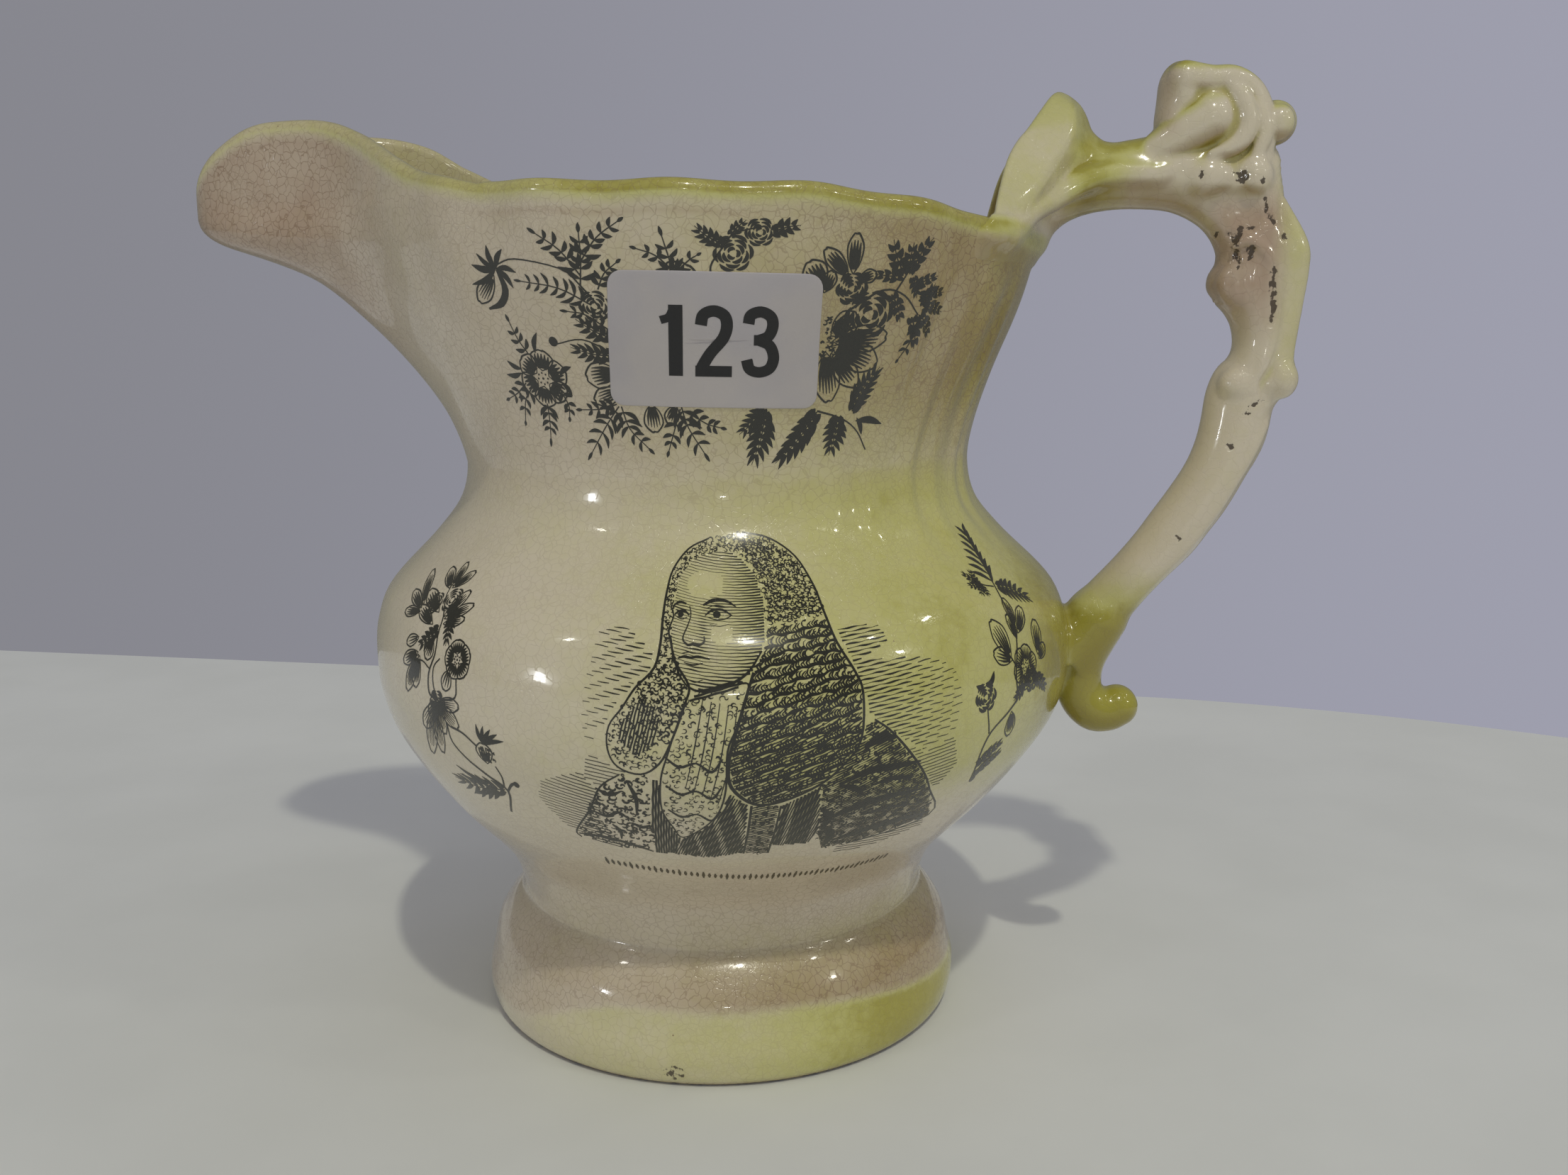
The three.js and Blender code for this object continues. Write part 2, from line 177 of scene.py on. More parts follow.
def lobes(angle, z):
    """Radial waves of the rim that die out down the neck, at the spout and at the handle."""
    fade = ease(140, 172, z) * ease(36, 60, abs(angle)) * (1 - ease(140, 160, abs(angle)))
    return lobe_depth * np.cos(np.radians((angle - lobe_crest_angle) * 360 / lobe_period)) * fade


def flutes(angle, z):
    """Shallow upright flutes on the neck, on both sides of the handle."""
    fade = ease(118, 128, abs(angle)) * (1 - ease(162, 172, abs(angle)))
    fade = fade * ease(100, 122, z) * (1 - ease(150, 168, z))
    drift = (z - 140) * flute_drift
    uneven = 0.32 + 0.22 * np.sin(abs(angle) * 0.31 + z * 0.06)
    return uneven * np.cos(np.radians((abs(angle) - drift) * 360 / flute_period)) * fade


def rim_height(angle):
    """Height of the rim, with its waves and the far wall of the spout."""
    far = far_wall_lift * ease(8, 14, -angle) * (1 - ease(19, 25, -angle))
    wave = lobe_lift * np.cos(np.radians((angle - lobe_crest_angle) * 360 / lobe_period))
    wave = wave * ease(36, 60, abs(angle)) * (1 - ease(124, 148, abs(angle)))
    return rim_curve(abs(angle)) + far + wave


def outer_reach(angle, z):
    """Distance of the outer surface from the axis, at an angle from the spout and a height."""
    around = abs(angle)
    base = np.where(z < waist[0], foot_outline(z), body_outline(np.minimum(z, mouth[0])))
    up = (z - neck[0]) / (spout_tip_height - neck[0])
    half_angle = lerp(spout_root_angle, spout_half_angle, np.clip(up, 0, 1))
    nose = 1 / (1 + (around / half_angle) ** 3)
    return base + (spout_reach - mouth[1]) * spout_pull(up) * nose + lobes(angle, z) + flutes(angle, z)


def belly_lean(z):
    """How far the jug's middle is pushed towards the handle at a height."""
    return lean_reach * np.exp(-(((z - lean_height) / lean_spread) ** 2))


def outer_point(angle, z):
    """Point of the outer surface. Angles run from the spout towards the camera's side."""
    turn = np.radians(180 + angle)
    reach = outer_reach(angle, z)
    return np.stack([reach * np.cos(turn) + belly_lean(z), reach * np.sin(turn), z + 0 * angle], -1)


def outer_normal(angle, z):
    """Direction straight out of the outer surface."""
    around = outer_point(angle + 0.2, z) - outer_point(angle - 0.2, z)
    upward = outer_point(angle, z + 0.15) - outer_point(angle, z - 0.15)
    normal = np.cross(around, upward)
    return normal / np.linalg.norm(normal, axis=-1, keepdims=True)


print("reach of the spout", round(float(outer_reach(0.0, spout_tip_height)), 1), "mm")

# %% [markdown]
# The jug's skin is a stack of rings, sewn together with quads. It starts in the middle of the hollow foot,
# runs over the foot ring and up the outside, turns over the lip in a half circle, goes down inside and ends
# in the middle of the floor. So the clay has a real thickness, and the mesh is closed.

# %% Rings to mesh


def mesh_object(name, points, faces, smooth=True):
    """A Blender object from points in millimetres from the jug's axis."""
    mesh = bpy.data.meshes.new(name)
    place = np.asarray(points, float) * MM + np.array([axis_x, 0, 0])
    mesh.from_pydata(place.tolist(), [], faces if isinstance(faces, list) else faces.tolist())
    mesh.validate()
    if smooth:
        mesh.shade_smooth()
    piece = bpy.data.objects.new(name, mesh)
    bpy.context.scene.collection.objects.link(piece)
    return piece


def sew(rows, count):
    """Quads between rings of equal counts, each ring closed."""
    index = np.arange(rows * count).reshape(rows, count)
    right = np.roll(index, -1, axis=1)
    quads = np.stack([index[:-1], right[:-1], right[1:], index[1:]], -1)
    return quads.reshape(-1, 4)


print("two rings of three points make", len(sew(2, 3)), "quads")

# %% Rings of the outside
wall = 4.0
near_spout = np.arange(-30, 30, 0.5)
elsewhere = np.arange(30, 330, 1.0)
columns = np.concatenate([near_spout, elsewhere])
columns = np.where(columns > 180, columns - 360, columns)
rim_top = rim_height(columns) - 0.8
foot_rows = np.concatenate([np.linspace(0.05, 3, 7), np.linspace(4, 26, 24)])
belly_rows = np.linspace(26.8, 123, 66)
neck_rows = np.linspace(0, 1, 52)[1:]


def ring_on(z):
    """One level ring of the outer surface."""
    return outer_point(columns, z + 0 * columns)


low_rings = [ring_on(z) for z in np.concatenate([foot_rows, belly_rows])]
neck_rings = [outer_point(columns, lerp(neck[0], rim_top, share)) for share in neck_rows]
neck_normals = [outer_normal(columns, lerp(neck[0], rim_top, share)) for share in neck_rows]
print("rings outside", len(low_rings) + len(neck_rings), "columns", len(columns))

# %% [markdown]
# The lip is half a circle from the outer wall to the inner wall, so that light runs along it softly. The
# inside could be a plain cylinder, since little of it shows, but the spout's hollow does show, so the
# inside follows the outside at the wall's thickness.

# %% Lip and inside
rim_point, rim_normal = neck_rings[-1], neck_normals[-1]
rim_along = np.roll(rim_point, -1, axis=0) - np.roll(rim_point, 1, axis=0)
rim_up = np.cross(rim_normal, rim_along)
rim_up = rim_up / np.linalg.norm(rim_up, axis=1, keepdims=True)
lip_middle = rim_point - rim_normal * wall / 2
lip_rings = [
    lip_middle + (np.cos(turn) * rim_normal + np.sin(turn) * rim_up) * wall / 2
    for turn in np.linspace(0, np.pi, 12)[1:-1]
]

inside_levels = [lerp(neck[0], rim_top, share) for share in neck_rows[::-2]]
inside_levels += [z + 0 * columns for z in np.linspace(neck[0], 36, 26)]
inside_rings = [outer_point(columns, z) - wall * outer_normal(columns, z) for z in inside_levels]
last_radius = np.hypot(inside_rings[-1][:, 0], inside_rings[-1][:, 1]).mean()
print("rings inside", len(inside_rings), "radius at the floor", round(float(last_radius), 1), "mm")

# %% Floor and hollow foot


def flat_ring(radius, z):
    """A level ring of one radius round the jug's axis."""
    turn = np.radians(180 + columns)
    return np.stack([radius * np.cos(turn), radius * np.sin(turn), z + 0 * turn], -1)


floor_top = 31.0
floor_rings = [flat_ring(last_radius * share, floor_top + rise) for share, rise in
               [(0.93, 2.4), (0.82, 0.9), (0.65, 0.25), (0.4, 0), (0.15, 0), (0.01, 0)]]
foot_inside = [(0.3, 26), (12, 26), (26, 26), (34, 25.9), (37, 25.2), (38.2, 23.5), (38.8, 18.2), (41, 12),
               (43.6, 7.4), (44.5, 4), (44.6, 1.2), (45.1, 0.35), (46.2, 0), (50.4, 0), (51.1, 0.02)]
foot_rings = [flat_ring(radius, z) for radius, z in foot_inside]
print("rings in the floor and the foot", len(floor_rings), len(foot_rings))

# %% Sew the jug's skin
skin = np.array(foot_rings + low_rings + neck_rings + lip_rings + inside_rings + floor_rings)


def hand_wobble(places):
    """Move points in or out by a tenth of a millimetre, as a potter's fingers leave them."""
    wobble = 0.09 * np.sin(places[..., 2] * 0.31 + 2 * np.sin(places[..., 0] * 0.06)) * np.sin(
        np.arctan2(places[..., 1], places[..., 0]) * 11 + places[..., 2] * 0.05)
    radial = np.stack([places[..., 0], places[..., 1], 0 * wobble], -1)
    radial = radial / np.maximum(np.linalg.norm(radial, axis=-1, keepdims=True), 1)
    return places + radial * (wobble * ease(1, 6, places[..., 2]))[..., None]


skin = hand_wobble(skin)
rows, count = skin.shape[:2]
jug_faces = sew(rows, count).tolist()
jug_faces.append(list(range(count))[::-1])
jug_faces.append(list(range((rows - 1) * count, rows * count)))
jug = mesh_object("glazed_jug", skin.reshape(-1, 3), jug_faces)
print("jug", rows, "rings,", len(jug_faces), "faces")

# %% [markdown]
# The handle is modelled clay: an arm, a knotted stem, a clasping leaf, a scrolled crest and a curled tail,
# all luted together and softened by the glaze. Meshes sewn by hand would show every joint as a crease.
# A distance field joins them better: each form is a rule that says how far a point lies from its skin,
# two rules are blended by a smooth minimum, and the skin is then drawn where the distance is zero.

# %% Clay field
cell = 0.54
field_low = np.array([50.0, -43.2, 55.0])
field_high = np.array([132.0, 0.0, 210.0])
axes = [np.arange(low, high + cell / 2, cell) for low, high in zip(field_low, field_high)]
clay = np.full([len(axis) for axis in axes], 30.0, np.float32)


def window(low, high):
    """Slices of the field between two corners, and the places of its points there."""
    spans = [slice(max(int((a - f) / cell), 0), max(int((b - f) / cell) + 2, 1))
             for a, b, f in zip(low, high, field_low)]
    places = [axis[span] for axis, span in zip(axes, spans)]
    x, y, z = np.meshgrid(*places, indexing="ij", sparse=True)
    return tuple(spans), x, y, z


def blend_in(spans, shape, soft):
    """Join a shape to the clay, with a fillet about as wide as soft."""
    old = clay[spans]
    share = np.clip(0.5 + 0.5 * (old - shape) / soft, 0, 1)
    clay[spans] = old * (1 - share) + shape * share - soft * share * (1 - share)


def press_out(spans, shape, soft):
    """Press a shape into the clay, so that it leaves a hollow with rounded edges."""
    old = clay[spans]
    share = np.clip(0.5 - 0.5 * (old + shape) / soft, 0, 1)
    clay[spans] = old * (1 - share) - shape * share + soft * share * (1 - share)


def egg_distance(x, y, z, middle, half, tilt=0.0):
    """Distance from an egg, tilted in the plane of the handle."""
    turn = np.radians(tilt)
    u = (x - middle[0]) * np.cos(turn) + (z - middle[2]) * np.sin(turn)
    w = -(x - middle[0]) * np.sin(turn) + (z - middle[2]) * np.cos(turn)
    v = y - middle[1]
    one = np.sqrt((u / half[0]) ** 2 + (v / half[1]) ** 2 + (w / half[2]) ** 2)
    two = np.sqrt((u / half[0] ** 2) ** 2 + (v / half[1] ** 2) ** 2 + (w / half[2] ** 2) ** 2)
    return one * (one - 1) / np.maximum(two, 1e-6)


def egg(middle, half, soft=1.5, tilt=0.0, hollow=False):
    """An egg of clay, or the hollow that it leaves."""
    reach = max(half) + soft + 1
    spans, x, y, z = window([m - reach for m in middle], [m + reach for m in middle])
    shape = egg_distance(x, y, z, middle, half, tilt)
    (press_out if hollow else blend_in)(spans, shape, soft)


def smooth_max(a, b, soft):
    """The larger of two distances, with the edge between them rounded."""
    share = np.clip(0.5 - 0.5 * (a - b) / soft, 0, 1)
    return a * (1 - share) + b * share + soft * share * (1 - share)


def smooth_path(points, steps=8):
    """A smooth path through points with any number of columns."""
    points = np.array(points, float)
    marks = np.arange(len(points))
    fine = np.linspace(0, len(points) - 1, (len(points) - 1) * steps + 1)
    return np.stack([through(np.stack([marks, column], -1))(fine) for column in points.T], -1)


def roll(points, soft=1.2, hollow=False):
    """A round roll along points given as x, y, z, radius."""
    path = smooth_path(points, 5)
    reach = path[:, 3].max() + soft + 1
    spans, x, y, z = window(path[:, :3].min(0) - reach, path[:, :3].max(0) + reach)
    best = np.float32(99)
    for a, b in zip(path[:-1], path[1:]):
        run = b[:3] - a[:3]
        along = ((x - a[0]) * run[0] + (y - a[1]) * run[1] + (z - a[2]) * run[2]) / max(run @ run, 1e-9)
        along = np.clip(along, 0, 1)
        gap = (x - a[0] - along * run[0]) ** 2 + (y - a[1] - along * run[1]) ** 2
        gap = np.sqrt(gap + (z - a[2] - along * run[2]) ** 2) - (a[3] + along * (b[3] - a[3]))
        best = np.minimum(best, gap)
    (press_out if hollow else blend_in)(spans, best, soft)


print("clay field", clay.shape)

# %% [markdown]
# The stem is drawn the way a modeller cuts a template: an inner and an outer outline beside a middle line.
# Across the handle the clay is an ellipse whose half width is given along the middle line.

# %% Stem from its two outlines
middle_line = [
    (60, 168), (67, 174.5), (74, 179), (82, 182), (90, 183), (98, 182.5), (105, 180), (110, 175.5),
    (112.8, 170), (114, 164), (114, 157), (115.5, 150), (115, 143), (112.5, 136), (110.8, 129),
    (108.5, 122), (104, 114), (99, 106.5), (93, 99), (87, 92), (82, 86.5), (77, 82),
]
inner_outline = [
    (62, 163), (66, 167), (70, 170.3), (74.6, 173.1), (79, 174.7), (84, 175.5), (89, 175.6), (94.5, 175.2),
    (98.3, 174), (102, 171.8), (104.3, 169.2), (105.6, 166.4), (105.5, 164.2), (104.4, 162.4), (103.8, 160),
    (104.6, 157.8), (106.8, 155.6), (108.8, 153.2), (109.8, 150.2), (110.1, 147.2), (109.2, 144.8),
    (107, 142.6), (105.9, 140.2), (105, 137), (104.5, 132.5), (103.6, 127.6), (101.5, 122), (98, 116.2),
    (95, 111.8), (91.5, 106.6), (87, 101), (82, 95.5), (77.8, 90.8), (73, 86),
]
outer_outline = [
    (60, 175), (66, 181), (72, 185.5), (79, 188.3), (85, 189.2), (91.5, 190.4), (98, 191.5), (106, 190.5),
    (113, 189.5), (117.3, 187), (117.6, 183), (118.6, 178), (119.1, 174), (120.6, 171.5), (123, 169),
    (124.3, 166.2), (124.2, 163.4), (123.6, 160.6), (123.5, 157), (123.3, 153), (122.7, 149), (122.4, 146),
    (123.3, 143), (123.2, 140.2), (121.9, 138), (120, 136), (119, 134), (118.6, 131), (117.8, 127.2),
    (116.3, 123.6), (114.6, 120.6), (112.4, 116.2), (109.9, 111.7), (107, 107.6), (103.8, 103), (98.5, 97.5),
    (94.5, 93), (91.5, 89), (88.5, 84.5), (86.5, 80), (84, 77),
]
half_width = through([
    (0, 9.5), (2, 8.5), (4, 7.4), (6, 7.2), (8, 7.4), (10, 7.3), (11, 7.0), (12, 7.4), (13, 6.7), (15, 6.6),
    (17, 6.9), (19, 7.2), (20, 7.8), (21, 8.6),
])
line = smooth_path([(*point, mark) for mark, point in enumerate(middle_line)], 16)
run = np.gradient(line[:, :2], axis=0)
run = run / np.linalg.norm(run, axis=1, keepdims=True)
side = np.stack([-run[:, 1], run[:, 0]], -1)


def reach_to(outline, sign):
    """How far an outline lies from the middle line, for each point of that line."""
    edge = smooth_path(outline, 10)
    nearest = np.argmin(((edge[:, None] - line[None, :, :2]) ** 2).sum(-1), axis=1)
    out = ((edge - line[nearest, :2]) * side[nearest]).sum(-1) * sign
    order = np.argsort(nearest, kind="stable")
    marks, reach = nearest[order], out[order]
    counts = np.bincount(marks, minlength=len(line))
    totals = np.bincount(marks, weights=reach, minlength=len(line))
    found = counts > 0
    filled = np.interp(np.arange(len(line)), np.flatnonzero(found), totals[found] / counts[found])
    kernel = np.exp(-np.linspace(-2, 2, 13) ** 2)
    padded = np.pad(filled, 6, mode="edge")
    return np.convolve(padded, kernel / kernel.sum(), mode="valid")


outer_side = reach_to(outer_outline, 1)
inner_side = reach_to(inner_outline, -1)
print("stem thickness from", round(float((outer_side + inner_side).min()), 1), "to",
      round(float((outer_side + inner_side).max()), 1))

spans, x, y, z = window((52, -14, 70), (130, 0, 198))
side_view = (x.shape[0], 1, z.shape[2])
flat = np.stack([np.broadcast_to(x, side_view), np.broadcast_to(z, side_view)], -1).reshape(-1, 2)
nearest = np.concatenate([
    np.argmin(((part[:, None] - line[None, :, :2]) ** 2).sum(-1), axis=1) for part in np.array_split(flat, 40)
])
offset = flat - line[nearest, :2]
across = (offset * side[nearest]).sum(-1)
overrun = (offset * run[nearest]).sum(-1)
overrun = np.where((nearest == 0) | (nearest == len(line) - 1), np.abs(overrun), 0)
share = np.clip(across / 1.5, -1, 1) * 0.5 + 0.5
thick = lerp(inner_side[nearest], outer_side[nearest], share * share * (3 - 2 * share))
wide = half_width(line[nearest, 2])
across, thick, wide, overrun = (part.reshape(side_view) for part in (across, thick, wide, overrun))
one = np.sqrt((across / thick) ** 2 + (y / wide) ** 2)
two = np.sqrt((across / thick**2) ** 2 + (y / wide**2) ** 2)
stem = np.maximum(one * (one - 1) / np.maximum(two, 1e-6), overrun - 1)
blend_in(spans, stem, 0.5)

# %% [markdown]
# The leaf is a collar of clay that clasps the rim round the arm's root. Each level of it is a rounded V:
# a flat near face from the free edge to a ridge, then a short face to its back, all 3 mm thick.

# %% Leaf
leaf_edge_x = through([(164, 57.4), (171.8, 57.7), (179.5, 59.3), (184.4, 60.8), (187.9, 62.7), (190.3, 64.6),
                       (194.5, 67.4), (198.3, 70.1), (199.9, 72)])
leaf_edge_y = through([(164, 38.5), (171.8, 36.8), (175, 33.5), (179.5, 27), (184.4, 22), (187.9, 18),
                       (190.3, 15), (194.5, 9.5), (198.3, 4.5), (199.9, 0.3)])
leaf_ridge_x = through([(164, 60), (170, 62), (175, 65.5), (179.5, 68.4), (183.8, 70.8), (186.4, 72.3),
                        (189.5, 73.9), (192.8, 74.5), (195.9, 74.2), (199.9, 72.6)])
leaf_ridge_y = through([(164, 35.5), (170, 33.4), (175, 26.5), (179.5, 22), (183.8, 18.5), (186.4, 16.4),
                        (189.5, 13.6), (192.8, 10.6), (195.9, 7.2), (199.9, 0.3)])
leaf_back_x = through([(164, 69.5), (171, 70.6), (175, 72.5), (180, 76.5), (186, 80), (189.9, 80.2),
                       (191.7, 79.4), (194.1, 78.5), (196.7, 77), (198.6, 74.8), (199.9, 73)])
leaf_wall = 3


def leaf_skin(x, y, z):
    """Distance outside the leaf's outer face, in the level plane."""
    v = np.sqrt(y * y + 1)
    edge_x, edge_y, ridge_x, ridge_y, back_x = (
        curve(z) for curve in (leaf_edge_x, leaf_edge_y, leaf_ridge_x, leaf_ridge_y, leaf_back_x))
    long_face = np.hypot(ridge_x - edge_x, edge_y - ridge_y)
    near = ((x - edge_x) * (edge_y - ridge_y) + (v - edge_y) * (ridge_x - edge_x)) / long_face
    short_face = np.hypot(back_x - ridge_x, ridge_y)
    back = ((x - back_x) * ridge_y + v * (back_x - ridge_x)) / short_face
    return smooth_max(near, back, 1.5)


spans, x, y, z = window((50, -40, 164.5), (86, 0, 203))
skin_out = leaf_skin(x, y, z)
collar = smooth_max(skin_out, -(skin_out + leaf_wall), 1.2)
collar = smooth_max(collar, leaf_edge_x(z) - x + 0.3, 1)
collar = smooth_max(collar, z - 200.2, 1.5)
collar = smooth_max(collar, (168.5 - z) * 0.7, 1.5)
blend_in(spans, collar, 4.5)

# A ridge runs from the collar's edge up to the arm.
roll([(61.4, -30.8, 169.2, 1.5), (65.6, -22.4, 173.2, 2), (69.8, -14.2, 176.3, 2.5),
      (76.8, -9, 180.4, 2.6), (83.1, -6.8, 181.9, 2.2), (92, -6.2, 181.8, 1.8)], 1.8)

# The arm's root is trimmed flush with the inside of the collar and of the jug's wall.
spans, x, y, z = window((50, -40, 156), (86, 0, 203))
clay[spans] = smooth_max(clay[spans], -(leaf_skin(x, y, z) + leaf_wall), 1.2)
print("leaf from", leaf_edge_x(200).round(1), "to", leaf_back_x(190).round(1), "mm from the axis")

# %% [markdown]
# The crest was pressed in a mould and finished with a tool: a knob, two bands that hook over it, a comma
# in their shelter, two crescents and a ball behind. Under it the clay swells like a brow. Eggs and rolls
# of clay build both, and rolls that are pressed out leave the grooves of the modelling tool.

# %% Crest: knob, hooded band, comma, crescents and ball
egg((97, 0, 198.2), (4.8, 7.2, 6.8), 1.5, tilt=8)
egg((95.6, 0, 193), (3.9, 6.6, 6.6), 1.5)
egg((105, 0, 192), (9.5, 7.4, 8.5), 1.5)
for reach in (-4.3, -1.4):
    roll([(97, reach, 201, 3.5), (102, reach, 200.6, 2.9), (106.5, reach * 0.9, 200.5, 2.9),
          (110.3, reach * 0.7, 198.2, 2.9), (112.7, reach * 0.65, 194, 2.7),
          (113.4, reach * 0.7, 190, 2.5), (112.8, reach * 0.8, 186, 2.4)], 0.8)
roll([(93.2, -8.6, 194.2, 0.9), (97, -8.6, 196.6, 1.2), (101, -8.6, 198.6, 1.1),
      (104.5, -8.4, 199.2, 0.8)], 0.9, hollow=True)
egg((102.6, -2.6, 194.8), (5, 5.6, 4.6), 1.2)
roll([(90.2, -3.2, 186, 3), (94, -3.7, 188.1, 4.1), (98.4, -4, 190.9, 4.9),
      (102.2, -4.4, 193, 5)], 0.6)
roll([(105.4, -4.9, 200, 1.8), (108, -5.6, 196.6, 2.2), (109.5, -6, 192.4, 2.3),
      (108.2, -6.5, 188.6, 2.1), (105, -6.9, 186.4, 1.6), (102.6, -7.2, 185.8, 1)], 0.45)
roll([(110.9, -4.2, 196.8, 1.6), (112.6, -4.8, 193, 1.8), (112.9, -5.1, 189.6, 1.8),
      (111.8, -5.6, 186.2, 1.5)], 0.5)
egg((116, 0, 192.6), (4.3, 4.8, 4.5), 0.6)
egg((116.2, -3.4, 192.2), (3, 2.8, 3.6), 0.6)
print("cells of clay with the crest", int((clay < 0).sum()))

# %% Brow: the swellings under the crest
egg((93.6, -5.2, 182.9), (2.6, 2.4, 2.2), 1.2)
egg((102.4, -4.6, 181.3), (5.4, 4.3, 4.4), 1)
egg((111.3, -4.4, 181.4), (4.1, 4.3, 4.9), 1)
roll([(91.5, -8.4, 184.6, 0.8), (97, -9, 185, 1.1), (102.6, -9.2, 185.4, 1.2),
      (106.2, -9.1, 183.8, 1.2), (107.6, -8.7, 180.6, 0.8)], 0.7, hollow=True)
roll([(104.9, -8.9, 198.4, 0.5), (107.2, -8.9, 194.6, 0.8), (107.5, -9.1, 191, 0.9),
      (105.6, -9.5, 188, 0.8)], 0.5, hollow=True)
roll([(110.8, -7.6, 196.2, 0.6), (111.9, -7.9, 192.6, 0.8), (111.2, -8.4, 188.8, 0.8),
      (109.8, -8.8, 186.4, 0.6)], 0.5, hollow=True)
egg((107.5, -7.5, 174.5), (7, 2, 4), 2, hollow=True)
print("cells of clay with the brow", int((clay < 0).sum()))

# %% [markdown]
# The stem is modelled as a branch: cords run down its near side, a roll swells along its back, and a knot
# stands where they end. Below, a plain shaft with one soft ridge leads to the tail, which is a tapered
# roll that turns up at its end.

# %% Stem: arch, cords, outer roll and knots
roll([(108.4, -6.4, 167.6, 0.9), (110.6, -6.7, 168.8, 1.3), (113.6, -6.6, 167, 1.5),
      (116.4, -5.9, 162.5, 1.4), (117.2, -5.5, 156, 1.4), (116.6, -5.6, 150, 1.4),
      (115.2, -5.6, 144.5, 1.1)], 0.7)
roll([(117.4, -2.9, 176, 1.6), (120.6, -3.1, 168, 2.9), (121.3, -3.2, 163.5, 2.7),
      (121, -3.3, 157, 2.3), (120.2, -3.3, 150.5, 2.3), (119.9, -3.4, 145, 2)], 0.7)
egg((119.7, -3.6, 140.6), (3.4, 4, 4.1), 0.9)
egg((110.4, -4.6, 139.6), (3.6, 3, 3.2), 1.5)
egg((109.6, -4.4, 160), (4.2, 2.9, 4.4), 1.5)
roll([(119, -7, 170, 0.8), (119.3, -6.9, 160, 0.8), (118.9, -6.9, 150, 0.8),
      (117.2, -7, 143.5, 0.9), (115.4, -7, 139.5, 1),
      (116.6, -6.4, 135.8, 0.8)], 0.7, hollow=True)
groove_places = ((107.6, 7.5), (109.6, 7.9), (111.6, 8), (113.8, 7.9))
for place, depth in groove_places:
    roll([(place - 0.6, -depth, 165, 0.5), (place, -depth, 157, 0.7), (place + 0.2, -depth, 150, 0.6),
          (place - 0.6, -depth + 0.3, 143, 0.5)], 0.8, hollow=True)
roll([(116.6, -3.8, 131, 0.9), (114.2, -4.2, 125.5, 1), (110.9, -4.4, 119.3, 1),
      (107.1, -4.5, 112.8, 1), (102.3, -4.6, 106, 1), (96.3, -4.7, 99.5, 1),
      (91.5, -4.9, 94, 0.9)], 1.2)
print("cells of clay with the stem's cords", int((clay < 0).sum()))

# %% Tail: it runs down the belly and curls out into a knob
roll([(84, -1.5, 88, 6.4), (81.6, -1.5, 81.5, 5.4), (80.6, -1.2, 76, 5), (81.2, -1, 71, 5),
      (84, -0.8, 67.8, 5.1), (87, -0.6, 67.3, 4.8), (89.3, -0.4, 68.2, 4.6)], 1.5)
print("cells of clay with the tail", int((clay < 0).sum()))

# %% [markdown]
# The handle has to grow out of the jug. A patch of the jug's own wall, a tenth of a millimetre thinner
# on each side, is blended into the field, so a fillet of slip rises where they meet. Nothing may come
# out on the inside of the wall, so all clay beyond it is cut away.

# %% Join to the jug's wall
lip_centre = through([(90, 173.8), (112, 172.8), (145, 168.3), (180, 166.8)])
clear_of_inside = 0.15
collar_foot = 167.5
wall_top = 174.0


def wall_distance(x, y, z):
    """Signed distance outside the jug's outer surface, near the handle's side."""
    lean = belly_lean(z)
    radius = np.hypot(x - lean, y)
    angle = 180 - np.degrees(np.arctan2(np.abs(y), x - lean))
    level = z + 0 * radius
    reach = outer_reach(angle, level)
    slope = outer_reach(angle, level + 0.5) - outer_reach(angle, level - 0.5)
    return (radius - reach) / np.sqrt(1 + slope * slope), angle


def join_patch(low, high, soft, thinner=0.12):
    """Blend a patch of the jug's wall into the clay, and keep the wall's inside free below the collar."""
    spans, x, y, z = window(low, high)
    outside, angle = wall_distance(x, y, z)
    over = np.maximum(z - lip_centre(angle), 0)
    wall_shape = np.sqrt((outside + wall / 2) ** 2 + over**2) - wall / 2 + thinner
    blend_in(spans, wall_shape, soft)
    trimmed = np.maximum(clay[spans], -(outside + wall - clear_of_inside))
    clay[spans] = np.where(z < collar_foot, trimmed, clay[spans])


join_patch((50, -43.2, 153), (80, 0, 172), 5.0)
join_patch((60, -16, 60), (84, 0, 102), 1.6)
spans, x, y, z = window((50, -43.2, 167), (82, 0, 203))
hollow = leaf_skin(x, y, z) + leaf_wall
outside = wall_distance(x, y, np.minimum(z, wall_top))[0]
mouth_side = np.maximum(hollow, outside + wall - clear_of_inside)
clay[spans] = smooth_max(clay[spans], -mouth_side, 1.0)
print("cells of clay in all", int((clay < 0).sum()))

# %% [markdown]
# Drawing the skin: every cell that the zero surface crosses gets one point, at the mean of the crossings
# on its edges, and every crossed edge gets a quad between its four cells. The points then slide a little
# towards their neighbours and back onto the surface, which evens out the quads.

# %% Draw the zero surface


